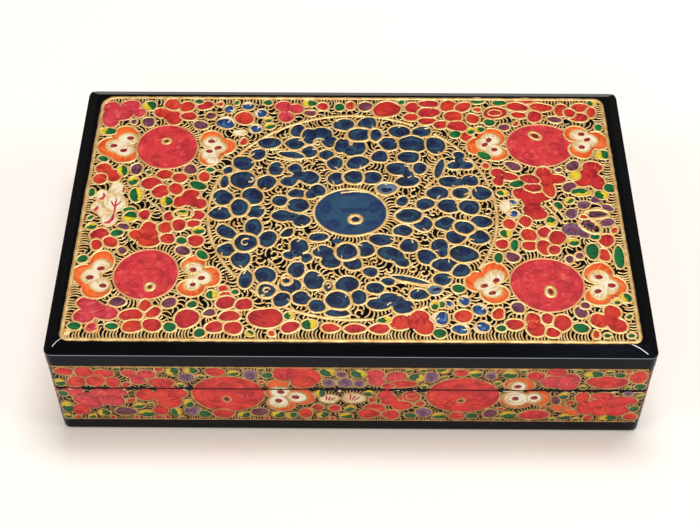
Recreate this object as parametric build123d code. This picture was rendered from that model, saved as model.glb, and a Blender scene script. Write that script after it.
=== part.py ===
from build123d import *
import os

os.makedirs("parts", exist_ok=True)

# Box, in millimetres. +X runs to the right along the length, +Y to the hinged back, +Z up.
# The origin is the centre of the underside.
length = 203.0
width = 126.0
height = 46.0
corner_radius = 3.0

# Boards of pressed paper pulp
wall_thickness = 5.0
bottom_board_thickness = 5.7
cap_board_thickness = 7.9
cap_overhang = 0.2
rebate_depth = 1.5
rebate_fit = 0.1

# Sloping margin round the top, and the worked edges
bevel_run = 3.9
bevel_drop = 2.1
cap_arris_radius = 0.35
bottom_arris_radius = 1.2
rim_chamfer = 0.25

# Cut between base and lid
seam_height = 25.0
seam_gap = 0.2

# Butt hinges
hinge_inset = 42.0
leaf_length = 20.0
leaf_depth = 4.0
leaf_thickness = 0.8
leaf_fit = 0.1
barrel_radius = 1.5
barrel_stand_off = 0.3
knuckle_gap = 0.15
pin_radius = 0.7
pin_clearance = 0.08
pin_head_radius = 1.1
pin_head_height = 0.45
pin_head_chamfer = 0.25

# Countersunk nails
nail_spacing = 12.0
nail_length = 7.0
nail_radius = 0.5
nail_point = 1.2
nail_tip_radius = 0.12
nail_head_radius = 1.0
nail_head_depth = 0.5
nail_clearance = 0.05

# How far a cutting shape passes the face that it opens, and how near counts as touching
overcut = 1.0
touch = 0.05

# Worked out from the sizes above
wall_length = length - 2 * cap_overhang
wall_width = width - 2 * cap_overhang
wall_corner_radius = corner_radius - cap_overhang
inner_length = wall_length - 2 * wall_thickness
inner_width = wall_width - 2 * wall_thickness
cap_underside = height - cap_board_thickness
bevel_foot = height - bevel_drop
base_rim = seam_height - seam_gap / 2
lid_rim = seam_height + seam_gap / 2
back_face = wall_width / 2
axis_y = back_face + barrel_stand_off + barrel_radius
knuckle_length = (leaf_length - 2 * knuckle_gap) / 3
hinge_places = {"left": hinge_inset - length / 2, "right": length / 2 - hinge_inset}
rims = {"base": base_rim, "lid": lid_rim}


def slab(outline, low, high):
    return Pos(0, 0, low) * extrude(outline, high - low)


def tongue(low, high):
    """Raised panel that drops between the four walls of one half."""
    outline = Rectangle(inner_length - 2 * rebate_fit, inner_width - 2 * rebate_fit)
    return slab(outline, low, high)


def cap_board():
    """Top board: four sloping margins that meet in mitres, cut off by the rounded corners."""
    foot = Pos(0, 0, bevel_foot) * Rectangle(length, width)
    crown = Pos(0, 0, height) * Rectangle(length - 2 * bevel_run, width - 2 * bevel_run)
    board = slab(Rectangle(length, width), cap_underside, bevel_foot) + loft([foot, crown])
    crown_and_mitres = [edge for edge in board.edges() if edge.bounding_box().max.Z > height - touch]
    board = fillet(crown_and_mitres, cap_arris_radius)
    board &= slab(RectangleRounded(length, width, corner_radius), cap_underside, height)
    foot_top = bevel_foot + corner_radius * bevel_drop / bevel_run
    bounds = [(edge, edge.bounding_box()) for edge in board.edges()]
    foot_edges = [edge for edge, box in bounds if box.min.Z > bevel_foot - touch and box.max.Z < foot_top]
    board = fillet(foot_edges, cap_arris_radius)
    return board + tongue(cap_underside - rebate_depth, cap_underside)


def bottom_board():
    outline = RectangleRounded(wall_length, wall_width, wall_corner_radius)
    board = slab(outline, 0, bottom_board_thickness)
    board = fillet(board.faces().sort_by(Axis.Z)[0].edges(), bottom_arris_radius)
    return board + tongue(bottom_board_thickness, bottom_board_thickness + rebate_depth)


def wall_frame(half):
    """The four walls of one half in one ring, with the outer edge of its rim taken off."""
    outline = RectangleRounded(wall_length, wall_width, wall_corner_radius)
    ring = outline - Rectangle(inner_length, inner_width)
    if half == "base":
        frame = slab(ring, bottom_board_thickness, base_rim)
        rim_face = frame.faces().sort_by(Axis.Z)[-1]
    else:
        frame = slab(ring, lid_rim, cap_underside)
        rim_face = frame.faces().sort_by(Axis.Z)[0]
    return chamfer(rim_face.outer_wire().edges(), rim_chamfer)


def mitre_wedge(half_run, inner_face):
    """Block on the -Y side that holds one wall, cut at 45 degrees through the corners."""
    reach = 2 * wall_thickness
    corners = [
        (-half_run - reach, -inner_face - reach),
        (half_run + reach, -inner_face - reach),
        (half_run, -inner_face),
        (-half_run, -inner_face),
    ]
    return slab(Polygon(*corners, align=None), 0, height)


def walls(half):
    """The four mitred walls of one half, by name."""
    frame = wall_frame(half)
    long_wedge = mitre_wedge(inner_length / 2, inner_width / 2)
    short_wedge = mitre_wedge(inner_width / 2, inner_length / 2)
    return {
        f"{half}_front_wall": frame & long_wedge,
        f"{half}_right_wall": frame & Rot(0, 0, 90) * short_wedge,
        f"{half}_back_wall": (frame & Rot(0, 0, 180) * long_wedge) - hinge_seats(half),
        f"{half}_left_wall": frame & Rot(0, 0, -90) * short_wedge,
    }


def hinge_seats(half):
    """Shallow pockets and nail holes that one half's back wall has for its two leaves."""
    rim = rims[half]
    deep = leaf_thickness if half == "lid" else -leaf_thickness
    shallow = -overcut if half == "lid" else overcut
    depth = leaf_depth + leaf_fit + overcut
    outline = Rectangle(leaf_length + 2 * leaf_fit, depth)
    seats = Part()
    for place in hinge_places.values():
        centre_y = back_face + overcut - depth / 2
        low, high = sorted((rim + deep, rim + shallow))
        seats += Pos(place, centre_y, 0) * slab(outline, low, high)
    return seats + at_nail_places(half, nail_hole())


def along_axis(cylinder, place):
    """Lays an upright cylinder along the hinge axis, centred at x = place."""
    return Pos(place, axis_y, seam_height) * Rot(0, 90, 0) * cylinder


def hinge_leaf(half, place):
    """Plate let into the rim, with the knuckles that this half has on the pin."""
    rim = rims[half]
    low, high = (rim, rim + leaf_thickness) if half == "lid" else (rim - leaf_thickness, rim)
    plate = Rectangle(leaf_length, leaf_depth)
    leaf = Pos(place, back_face - leaf_depth / 2, 0) * slab(plate, low, high)
    step = knuckle_length + knuckle_gap
    for offset in (0,) if half == "lid" else (-step, step):
        neck = Rectangle(knuckle_length, axis_y - back_face)
        centre_y = (axis_y + back_face) / 2
        leaf += Pos(place + offset, centre_y, 0) * slab(neck, low, high)
        leaf += along_axis(Cylinder(barrel_radius, knuckle_length), place + offset)
    leaf -= along_axis(Cylinder(pin_radius + pin_clearance, leaf_length + overcut), place)
    return leaf - at_nail_places(half, nail_hole())


def hinge_pin(place):
    """Pin through the three knuckles, with a peened head at each end."""
    pin = along_axis(Cylinder(pin_radius, leaf_length), place)
    for end in (-1, 1):
        head = Pos(0, 0, end * (leaf_length + pin_head_height) / 2) * Cylinder(
            pin_head_radius, pin_head_height
        )
        outer_edge = head.edges().filter_by(GeomType.CIRCLE).sort_by(Axis.Z)[-1 if end > 0 else 0]
        pin += along_axis(chamfer(outer_edge, pin_head_chamfer), place)
    return pin


def nail():
    """Countersunk nail that points down from a head flush with z = 0."""
    profile = [
        (0, 0),
        (nail_head_radius, 0),
        (nail_radius, -nail_head_depth),
        (nail_radius, nail_point - nail_length),
        (nail_tip_radius, -nail_length),
        (0, -nail_length),
    ]
    return revolve(Plane.XZ * Polygon(*profile, align=None), Axis.Z)


def nail_hole():
    """Countersunk hole drilled for one nail."""
    profile = [
        (0, 0),
        (nail_head_radius + nail_clearance, 0),
        (nail_radius + nail_clearance, -nail_head_depth),
        (nail_radius + nail_clearance, -nail_length - nail_clearance),
        (0, -nail_length - nail_clearance),
    ]
    return revolve(Plane.XZ * Polygon(*profile, align=None), Axis.Z)


def at_nail_places(half, shape):
    """Copies of one shape at the four nails of one half, pointing into its back wall."""
    turn = Rot(180, 0, 0) if half == "lid" else Rot(0, 0, 0)
    group = Part()
    for place in hinge_places.values():
        for offset in (-nail_spacing / 2, nail_spacing / 2):
            group += Pos(place + offset, back_face - leaf_depth / 2, rims[half]) * turn * shape
    return group


def box_pieces():
    pieces = {"lid_cap_board": cap_board(), "bottom_board": bottom_board()}
    for half in ("base", "lid"):
        pieces |= walls(half)
        pieces[f"{half}_hinge_nails"] = at_nail_places(half, nail())
        for side, place in hinge_places.items():
            pieces[f"{side}_hinge_{half}_leaf"] = hinge_leaf(half, place)
    for side, place in hinge_places.items():
        pieces[f"{side}_hinge_pin"] = hinge_pin(place)
    return pieces


for name, piece in box_pieces().items():
    export_step(piece, f"parts/{name}.step")
    print(name, round(piece.volume, 2))
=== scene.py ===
import bpy
import math
import numpy as np
from mathutils import Matrix, Vector


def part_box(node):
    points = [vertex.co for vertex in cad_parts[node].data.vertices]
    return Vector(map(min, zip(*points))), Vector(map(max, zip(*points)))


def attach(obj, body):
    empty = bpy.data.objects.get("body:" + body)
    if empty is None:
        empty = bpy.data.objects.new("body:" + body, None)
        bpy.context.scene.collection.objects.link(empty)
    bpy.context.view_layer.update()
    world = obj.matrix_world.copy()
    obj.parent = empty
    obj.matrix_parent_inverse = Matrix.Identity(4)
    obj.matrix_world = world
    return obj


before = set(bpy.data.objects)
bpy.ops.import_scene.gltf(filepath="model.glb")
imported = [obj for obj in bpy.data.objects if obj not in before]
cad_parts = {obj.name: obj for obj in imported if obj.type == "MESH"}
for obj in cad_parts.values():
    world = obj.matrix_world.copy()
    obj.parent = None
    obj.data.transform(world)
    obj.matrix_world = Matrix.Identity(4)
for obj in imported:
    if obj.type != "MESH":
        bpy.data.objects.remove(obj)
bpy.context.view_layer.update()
mm = 0.001   # layouts are in millimetres, meshes in metres


def hexColour(code):
    out = []
    for i in (0, 2, 4):
        c = int(code[i:i + 2], 16) / 255
        out.append(c / 12.92 if c <= 0.04045 else ((c + 0.055) / 1.055) ** 2.4)
    return (*out, 1.0)


def addNode(tree, kind, props=None, inputs=None):
    node = tree.nodes.new(kind)
    for name, value in (props or {}).items():
        setattr(node, name, value)
    for name, value in (inputs or {}).items():
        if isinstance(value, bpy.types.NodeSocket):
            tree.links.new(value, node.inputs[name])
        else:
            node.inputs[name].default_value = value
    return node


def calc(tree, operation, *values):
    return addNode(tree, "ShaderNodeMath", {"operation": operation}, dict(enumerate(values))).outputs[0]


def noise(tree, place, scale, detail):
    inputs = {"Vector": place, "Scale": scale, "Detail": detail}
    return addNode(tree, "ShaderNodeTexNoise", inputs=inputs).outputs["Fac"]


def remap(tree, value, low, high, least=0.0, most=1.0):
    inputs = {"Value": value, "From Min": low, "From Max": high, "To Min": least, "To Max": most}
    return addNode(tree, "ShaderNodeMapRange", inputs=inputs).outputs[0]


def blend(tree, share, first, second):
    return addNode(tree, "ShaderNodeMix", {"data_type": "RGBA"}, {0: share, 6: first, 7: second}).outputs[2]


def relief(tree, height, strength, distance):
    inputs = {"Strength": strength, "Distance": distance, "Height": height}
    return addNode(tree, "ShaderNodeBump", inputs=inputs).outputs[0]


def newMaterial(name):
    material = bpy.data.materials.new(name)
    material.use_nodes = True
    material.node_tree.nodes.clear()
    return material, material.node_tree


def finishMaterial(tree, kind, inputs):
    surface = addNode(tree, kind, inputs=inputs)
    addNode(tree, "ShaderNodeOutputMaterial", inputs={"Surface": surface.outputs[0]})


def putInScene(name, data):
    thing = bpy.data.objects.new(name, data)
    bpy.context.scene.collection.objects.link(thing)
    return thing


# place in mm, angles in degrees, lens in mm on a 36 mm back, clip in m
camera = {
    "place": (1.08, -333.04, 416.39), "yaw": 0.291, "pitch": 50.183, "roll": 0.089,
    "lens": 71.85, "back": 36, "clip": (0.01, 50),
}


def makeCamera():
    yaw, pitch, roll = (math.radians(camera[k]) for k in ("yaw", "pitch", "roll"))
    forward = Vector((-math.sin(yaw) * math.cos(pitch), math.cos(yaw) * math.cos(pitch), -math.sin(pitch)))
    level = Vector((math.cos(yaw), math.sin(yaw), 0))
    raised = level.cross(forward)
    right = math.cos(roll) * level + math.sin(roll) * raised
    above = -math.sin(roll) * level + math.cos(roll) * raised
    place = (c * mm for c in camera["place"])
    data = bpy.data.cameras.new("camera")
    data.lens = camera["lens"]
    data.sensor_width = camera["back"]
    data.clip_start, data.clip_end = camera["clip"]
    cam = putInScene("camera", data)
    cam.matrix_world = Matrix((*zip(right, above, -forward, place), (0, 0, 0, 1)))
    bpy.context.scene.camera = cam


studio = {
    "floor": "FDF9F2", "glow": 0.125, "shadeShare": 0.95, "floorSize": 12,
    "world": "FFECDC", "worldStrength": 0.23,
    # name: place, aim, width, depth, watts, colour
    "lamps": {
        "key": ((0.12, 0.27, 1.35), (0, 0, 0.03), 0.75, 0.35, 11.9, "F0F8FF"),
        "left": ((-1.1, -0.5, 1.1), (0, 0, 0.03), 0.6, 0.6, 5.05, "FFFBF6"),
        "right": ((1.2, -0.3, 1.0), (0, 0, 0.03), 0.6, 0.6, 5.25, "FFFCF8"),
        "front": ((-0.2, -1.15, 0.85), (0, 0, 0.02), 1.0, 0.22, 3.0, "FFF0E0"),
        "sheen": ((0.34, -0.52, 1.3), (0.08, -0.06, 0.045), 0.2, 0.03, 0.16, "C4DAF6"),
    },
}


def makeFloor():
    size = studio["floorSize"] / 2
    corners = [(-size, -size, 0), (size, -size, 0), (size, size, 0), (-size, size, 0)]
    mesh = bpy.data.meshes.new("floor")
    mesh.from_pydata(corners, [], [(0, 1, 2, 3)])
    floor = putInScene("floor", mesh)
    # matt paper; seen straight or in a reflection it glows a little and shades a little less
    material, tree = newMaterial("paper_sweep")
    colour = hexColour(studio["floor"])
    matt = addNode(tree, "ShaderNodeBsdfDiffuse", inputs={
        "Color": tuple(c * studio["shadeShare"] for c in colour[:3]) + (1,)})
    glow = addNode(tree, "ShaderNodeEmission", inputs={"Color": colour, "Strength": studio["glow"]})
    both = addNode(tree, "ShaderNodeAddShader", inputs={0: matt.outputs[0], 1: glow.outputs[0]})
    whole = addNode(tree, "ShaderNodeBsdfDiffuse", inputs={"Color": colour})
    path = addNode(tree, "ShaderNodeLightPath").outputs
    seen = calc(tree, "MAXIMUM", path["Is Camera Ray"], path["Is Glossy Ray"])
    seen = calc(tree, "MAXIMUM", seen, path["Is Transmission Ray"])
    finishMaterial(tree, "ShaderNodeMixShader", {0: seen, 1: whole.outputs[0], 2: both.outputs[0]})
    mesh.materials.append(material)


def makeLights():
    world = bpy.data.worlds.new("room")
    world.use_nodes = True
    background = world.node_tree.nodes["Background"].inputs
    background["Color"].default_value = hexColour(studio["world"])
    background["Strength"].default_value = studio["worldStrength"]
    bpy.context.scene.world = world
    for name, (place, aim, width, depth, watts, colour) in studio["lamps"].items():
        data = bpy.data.lights.new(name, "AREA")
        data.shape = "RECTANGLE"
        data.size, data.size_y, data.energy = width, depth, watts
        data.color = hexColour(colour)[:3]
        lamp = putInScene(name, data)
        lamp.location = place
        lamp.rotation_euler = (Vector(aim) - Vector(place)).to_track_quat("-Z", "Y").to_euler()
    bpy.context.scene.view_settings.view_transform = "Standard"


makeCamera()
makeFloor()
makeLights()
print("camera, floor and lamps set")


# painted highlights on the cap's lacquer, in metres; each mark: hand, start in x and y, slope, length
paintedGlints = {
    "marks": [(1, 0.0925, 0.0587, 0.47, 0.0029), (1, 0.0954, 0.06006, 0.68, 0.0024),
              (-1, 0.0949, 0.0565, 1.11, 0.0035)],
    "half": 0.00016, "cornerGlint": "F0F0F2",
    "foot": 0.04382, "footHalf": 0.00012, "footFront": 0.0622, "footGlint": "8E9CAE",
}


def paintGlintsOnEdges(tree, place, tint):
    # painted highlights: a thin white line near each front corner and a bluish-grey line along the foot of
    # the front slope, reflections of the lamps on the rounded edges painted into the colour
    x, y, z = addNode(tree, "ShaderNodeSeparateXYZ", inputs={0: place}).outputs
    front = calc(tree, "MULTIPLY", y, -1.0)
    offFoot = calc(tree, "ABSOLUTE", calc(tree, "SUBTRACT", z, paintedGlints["foot"]))
    foot = calc(tree, "MULTIPLY", calc(tree, "LESS_THAN", offFoot, paintedGlints["footHalf"]),
                calc(tree, "GREATER_THAN", front, paintedGlints["footFront"]))
    tint = blend(tree, foot, tint, hexColour(paintedGlints["footGlint"]))
    for hand, startX, startY, slope, length in paintedGlints["marks"]:
        u = calc(tree, "SUBTRACT", calc(tree, "MULTIPLY", x, float(hand)), startX)
        v = calc(tree, "SUBTRACT", front, startY)
        off = calc(tree, "ABSOLUTE", calc(tree, "SUBTRACT", calc(tree, "MULTIPLY", u, slope), v))
        mark = calc(tree, "MULTIPLY", calc(tree, "LESS_THAN", off, paintedGlints["half"]),
                    calc(tree, "GREATER_THAN", calc(tree, "MINIMUM", u, v), 0.0))
        mark = calc(tree, "MULTIPLY", mark, calc(tree, "LESS_THAN", u, length))
        tint = blend(tree, mark, tint, hexColour(paintedGlints["cornerGlint"]))
    return tint


def lacquerMaterial(name, edges=False):
    # black spirit lacquer over smoothed paper pulp: near black, glossy, with brush ripple and polishing haze
    material, tree = newMaterial(name)
    place = addNode(tree, "ShaderNodeTexCoord").outputs["Object"]
    cloud = noise(tree, place, 55, 3)   # 18 mm
    haze = noise(tree, place, 900, 4)   # 1.1 mm
    tint = blend(tree, cloud, hexColour("07080B"), hexColour("0E0D0D"))
    # with edges, the painted highlights go on near the front corners and along the foot of the front slope
    tint = paintGlintsOnEdges(tree, place, tint) if edges else tint
    finishMaterial(tree, "ShaderNodeBsdfPrincipled", {
        "Base Color": tint, "Roughness": remap(tree, haze, 0.3, 0.75, 0.13, 0.24), "IOR": 1.48,
        "Specular IOR Level": 0.10, "Specular Tint": hexColour("D4DEF8"),
        "Normal": relief(tree, cloud, 0.10, 0.00012)})
    return material


def brassMaterial():
    # drawn hinge brass, dulled by handling: yellow metal with brown tarnish in soft patches
    material, tree = newMaterial("aged_drawn_brass")
    place = addNode(tree, "ShaderNodeTexCoord").outputs["Object"]
    patch = noise(tree, place, 260, 5)    # 4 mm
    grain = noise(tree, place, 2600, 2)   # 0.4 mm
    finishMaterial(tree, "ShaderNodeBsdfPrincipled", {
        "Base Color": blend(tree, remap(tree, patch, 0.42, 0.68), hexColour("C9A45A"), hexColour("8A6534")),
        "Metallic": 1.0, "Roughness": remap(tree, patch, 0.0, 1.0, 0.22, 0.5),
        "Normal": relief(tree, grain, 0.25, 0.00003)})
    return material


def goldMaterial(name, thin, thick):
    # brass powder in varnish, laid with a fine brush: grainy, half metallic, paler where the brush was full
    material, tree = newMaterial(name)
    place = addNode(tree, "ShaderNodeTexCoord").outputs["Object"]
    load = noise(tree, place, 420, 3)      # 2.4 mm
    powder = noise(tree, place, 4200, 2)   # 0.24 mm
    finishMaterial(tree, "ShaderNodeBsdfPrincipled", {
        "Base Color": blend(tree, remap(tree, load, 0.36, 0.66), hexColour(thin), hexColour(thick)),
        "Metallic": 0.55, "Roughness": 0.42, "Normal": relief(tree, powder, 0.35, 0.00006)})
    return material


# paint name: body colour, its neighbour in other petals, brush streaks, light strokes
paints = {
    "crimson": ("D83C3C", "CE303A", "B02630", "E47060"),
    "haze": ("66788A", "566E82", "364C60", "C4C8C4"),
    "red": ("C62C22", "BC2830", "8E161C", "DA5240"),
    "scarlet": ("D23C24", "C62C28", "9E1C18", "E06246"),
    "vermilion": ("EA3C28", "E0323A", "B01E26", "F26A52"),
    "rose": ("D43C4A", "C83240", "9C222A", "E4746C"),
    "coral": ("EA464A", "DE3A46", "AE2A36", "F4847A"),
    # a whiter cream for the walls, partly painted light that makes up for the light the upright walls miss
    "litWallCream": ("FFF8E4", "FAEED2", "E2CC9C", "FFFEF6"),
    "orange": ("F2702C", "EC5E22", "CF4616", "FA9C5C"),
    "cream": ("F2E6C6", "EAD6AC", "D4B07C", "FCF4E0"),
    "rust": ("B8402C", "A83426", "84201A", "CC6A48"),
    "maroon": ("8E2A26", "7A2220", "5A1416", "A84A3C"),
    "steel": ("284A66", "254662", "1C3656", "34586F"),
    "blue": ("28485E", "233E5A", "0C1422", "38586A"),
    "navy": ("182A56", "14244A", "0A1230", "223C66"),
    "deep": ("1E3A60", "1A345C", "16284E", "264464"),
    "ink": ("122634", "142C3A", "08121C", "1E3E4C"),
    "sky": ("205088", "1A3E74", "0C2048", "86A6CC"),
    "green": ("0C7034", "0A5A2E", "064020", "2E8C44"),
    "yellow": ("E8D022", "DEBE2C", "B8981A", "F4E46C"),
    "plum": ("7A384A", "6C3A50", "46202E", "946274"),
    "mauve": ("7C5470", "70486A", "4A2E44", "A28098"),
    "straw": ("E2C07C", "D8B068", "B88C4C", "F0D8A4"),
    "violet": ("8E7096", "7C6086", "5A4462", "B29EBA"),
}
# streak sizes in mm; a rim is darkened from the first share of the way out to the second
gouache = {
    "streakLength": 5.0, "streakWidth": 0.7, "edge": 0.85, "paleEdge": 0.2975,
    "rim": (0.62, 1.0), "blueRim": (0.5, 0.92),
    "roughness": 0.38, "specular": 0.2, "varnish": 0.05,
}


def gouacheMaterial(name):
    # body colour bound in glue, brushed thin and varnished: streaks along each petal, its edge a bit darker
    material, tree = newMaterial("varnished_gouache_" + name)
    body, neighbour, dark, light = (hexColour(code) for code in paints[name])
    brush = addNode(tree, "ShaderNodeAttribute", {"attribute_name": "brush"}).outputs["Vector"]
    tone = addNode(tree, "ShaderNodeAttribute", {"attribute_name": "tone"}).outputs["Vector"]
    lean, outward, shade = addNode(tree, "ShaderNodeSeparateXYZ", inputs={0: tone}).outputs
    stretch = addNode(tree, "ShaderNodeVectorMath", {"operation": "MULTIPLY"}, {
        0: brush, 1: (1 / gouache["streakLength"], 1 / gouache["streakWidth"], 1)})
    streak = noise(tree, stretch.outputs[0], 1, 3)
    pool = addNode(tree, "ShaderNodeVectorMath", {"operation": "MULTIPLY"}, {0: brush, 1: (0.45, 0.45, 1)})
    pool = noise(tree, pool.outputs[0], 1, 1)
    # one side of the petal takes the darker colour, broken up by the streaks
    darkMask = remap(tree, calc(tree, "MULTIPLY_ADD", lean, 0.22, streak), 0.5, 0.68, most=0.9)
    rimStart, rimFull = gouache["blueRim" if name == "blue" else "rim"]
    edge = gouache["paleEdge" if name in ("cream", "litWallCream", "straw") else "edge"]
    darkMask = calc(tree, "MAXIMUM", darkMask, remap(tree, outward, rimStart, rimFull, most=edge))
    shaded = blend(tree, shade, body, neighbour)
    shaded = blend(tree, remap(tree, pool, 0.52, 0.74, most=0.55), shaded, light)
    finishMaterial(tree, "ShaderNodeBsdfPrincipled", {
        "Base Color": blend(tree, darkMask, shaded, dark), "Roughness": gouache["roughness"], "IOR": 1.5,
        "Specular IOR Level": gouache["specular"], "Normal": relief(tree, streak, 0.3, 0.00005),
        "Coat Weight": gouache["varnish"], "Coat Roughness": 0.18})
    return material


lacquer = lacquerMaterial("black_spirit_lacquer")
# the cap board's lacquer, with painted highlights along its front edges
glintedLacquer = lacquerMaterial("black_spirit_lacquer_painted_edge_glints", True)
brass = brassMaterial()
gold = goldMaterial("brushed_gold_paint", "DCAC62", "F4D494")
# the long border is drawn with a drier brush; on fresh crimson the gold looks redder
lineGolds = {
    "gold_border": goldMaterial("thin_gold_paint", "CC9E5A", "ECC888"),
    "gold_over_red": goldMaterial("coppery_gold_paint", "D89458", "EEB47E"),
}
shadedWallGold = goldMaterial("wall_gold_paint_painted_shade", "A07A44", "D0A868")   # painted shade: a darker copy of the gold for the walls, which catch less light than the top
paintNames = list(paints)
paintMaterials = [gouacheMaterial(name) for name in paintNames]

for name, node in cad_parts.items():
    finish = brass if "hinge" in name else glintedLacquer if name == "lid_cap_board" else lacquer
    for place in node.material_slots:
        place.material = finish
    if not node.material_slots:
        node.data.materials.append(finish)
print("finishes made: %d" % (5 + len(lineGolds) + len(paintMaterials)))


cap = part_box("lid_cap_board")
rim = {"lid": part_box("lid_front_wall")[0].z / mm, "base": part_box("base_front_wall")[1].z / mm}
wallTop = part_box("lid_front_wall")[1].z / mm
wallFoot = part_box("base_front_wall")[0].z / mm
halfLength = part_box("base_right_wall")[1].x / mm
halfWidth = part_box("base_back_wall")[1].y / mm
face = {
    "slope": 3.9,          # sloping margin round the top board
    "margin": 0.1,         # bare strip inside the slope
    "cornerRadius": 2.8,   # upright corners of the walls
    "rimGap": 0.22,        # bare strip along the cut between base and lid
    "edgeGap": 0.15,       # and along the cap and the foot
    "hingeReach": 11.0,    # half length of the bare place behind each hinge
    "hingeDrop": 1.9,
    "cell": 0.25,          # side of a cell in the map of what is already painted
    "sink": 0.02,          # how far paint reaches into the lacquer
    "shortest": 0.02,      # sides shorter than this are dropped when an outline is cut
    "sliver": 0.3,         # and so are shapes narrower than this
}


def makePanel(name, body, origin, across, up, window, fit, flat=None, blocked=()):
    # the layout is drawn on a sheet of its own, in mm; fit stretches and shifts it onto the face
    stretchX, shiftX, stretchY, shiftY = fit
    left, right = ((x - shiftX) / stretchX for x in window[:2])
    low, high = ((y - shiftY) / stretchY for y in window[2:])
    shape = (int((high - low) / face["cell"]) + 2, int((right - left) / face["cell"]) + 2)
    panel = {
        "name": name, "body": body, "origin": Vector(origin), "fit": fit, "flat": flat,
        "turn": Matrix((across, up, Vector(across).cross(Vector(up)))).transposed(),
        "window": (left, right, low, high),
        "blocked": [((x - shiftX) / stretchX, (y - shiftY) / stretchY, halfX, halfY)
                    for x, y, halfX, halfY in blocked],
        "depth": np.zeros(shape),         # paint depth over each cell, mm
        "taken": np.zeros(shape, bool),   # which cells are painted
        "groups": {}, "petals": [], "merged": False, "line": motif["outline"], "gold": gold,
    }
    for x, y, halfX, halfY in panel["blocked"]:
        rows, columns = cellsIn(panel, x - halfX, x + halfX, y - halfY, y + halfY)
        panel["taken"][rows, columns] = True
    return panel


def cellsIn(panel, x0, x1, y0, y1):
    left, low = panel["window"][::2]
    height, width = panel["depth"].shape
    c = face["cell"]
    rows = slice(min(max(int((y0 - low) / c), 0), height), min(max(int((y1 - low) / c) + 1, 0), height))
    columns = slice(min(max(int((x0 - left) / c), 0), width), min(max(int((x1 - left) / c) + 1, 0), width))
    return rows, columns


def cellsUnder(panel, points, spare=0.0):
    (x0, y0), (x1, y1) = points.min(0) - spare, points.max(0) + spare
    return cellsIn(panel, x0, x1, y0, y1)


def cellCentres(panel, rows, columns):
    c = face["cell"]
    left, low = panel["window"][::2]
    xs = left + (np.arange(columns.start, columns.stop) + 0.5) * c
    ys = low + (np.arange(rows.start, rows.stop) + 0.5) * c
    return np.meshgrid(xs, ys)


def insideOf(outline, px, py):
    inside = np.zeros(px.shape, bool)
    x, y = outline[:, 0], outline[:, 1]
    for i in range(len(outline)):
        j = i - 1
        if y[i] == y[j]:
            continue
        crosses = ((y[i] > py) != (y[j] > py)) & (px < (x[j] - x[i]) * (py - y[i]) / (y[j] - y[i]) + x[i])
        inside ^= crosses
    return inside


def chance(*seeds):
    # the same draw for the same motif, whichever half of the box it is cut for
    total = sum(s * k for s, k in zip(seeds, (12.9898, 78.233, 37.719, 9.131)))
    return (math.sin(total) * 43758.5453) % 1.0


def around(x, y, rx, ry, angle):
    # the point of an oval in this direction, in radians
    return x + rx * math.cos(angle), y + ry * math.sin(angle)


def oval(x, y, rx, ry, turn=0.0, grow=0.0, wobble=0.05, points=20):
    # not quite even, as a hand draws it
    angles = np.linspace(0, 2 * math.pi, points, endpoint=False)
    first, second = 6.28 * chance(x, y), 6.28 * chance(y, x)
    radius = 1 + wobble * np.sin(2 * angles + first) + 0.6 * wobble * np.sin(3 * angles + second)
    px, py = (rx + grow) * radius * np.cos(angles), (ry + grow) * radius * np.sin(angles)
    c, s = math.cos(math.radians(turn)), math.sin(math.radians(turn))
    return np.column_stack((x + px * c - py * s, y + px * s + py * c))


def clipped(outline, window):
    # what lies inside the window, without slivers
    left, right, low, high = window
    points = [tuple(p) for p in outline]
    for axis, limit, sign in ((0, left, 1), (0, right, -1), (1, low, 1), (1, high, -1)):
        kept = []
        for a, b in zip(points, points[1:] + points[:1]):
            da, db = sign * (a[axis] - limit), sign * (b[axis] - limit)
            if da >= 0:
                kept.append(a)
            if (da >= 0) != (db >= 0):
                t = da / (da - db)
                kept.append((a[0] + (b[0] - a[0]) * t, a[1] + (b[1] - a[1]) * t))
        points = kept
        if len(points) < 3:
            return None
    points = np.array(points)
    steps = np.roll(points, -1, 0) - points
    points = points[np.hypot(steps[:, 0], steps[:, 1]) > face["shortest"]]
    if len(points) < 3 or np.ptp(points, axis=0).min() < face["sliver"]:
        return None
    return points


def isBlocked(panel, points):
    return any(
        ((abs(points[:, 0] - x) < halfX) & (abs(points[:, 1] - y) < halfY)).any()
        for x, y, halfX, halfY in panel["blocked"])


def groupOf(panel, group):
    if panel["merged"]:   # a wall keeps all its paint in one piece and all its gold in another
        group = "gold" if group.startswith("gold") else "flowers"
    return panel["groups"].setdefault(group, {
        "points": [], "faces": [], "paint": [], "brush": [], "tone": [], "lines": []})


# heights in mm
coat = {
    "least": 0.03,        # the first coat on the lacquer
    "step": 0.012,        # what each further coat adds
    "edge": 0.01,         # how far its edge falls away
    "shoulder": (0.84, 0.0), "dome": (0.45, 0.002), "crown": 0.003,
    "strips": 5,          # round an upright corner
    "strokeStep": 0.01, "strokeEdge": 0.004, "strokeGap": 0.1,
}


def layPaint(panel, group, paint, outline, axis=0.0, shade=0.5, lean=0.0, mates=()):
    left, right, low, high = panel["window"]
    bend = panel["flat"] / panel["fit"][0] if panel["flat"] else None
    strips = [(left, right)]
    if bend and abs(outline[:, 0]).max() > bend + 0.2:
        # laid in strips where it runs round an upright corner, or it would cut through the lacquer
        corner = np.linspace(bend, right, coat["strips"])
        cuts = [*-corner[::-1], *corner]
        strips = list(zip(cuts, cuts[1:]))
    for strip in strips:
        part = clipped(outline, (*strip, low, high))
        if part is not None:
            layOne(panel, group, paint, part, axis, shade, lean, mates, strip if len(strips) > 1 else ())


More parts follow.
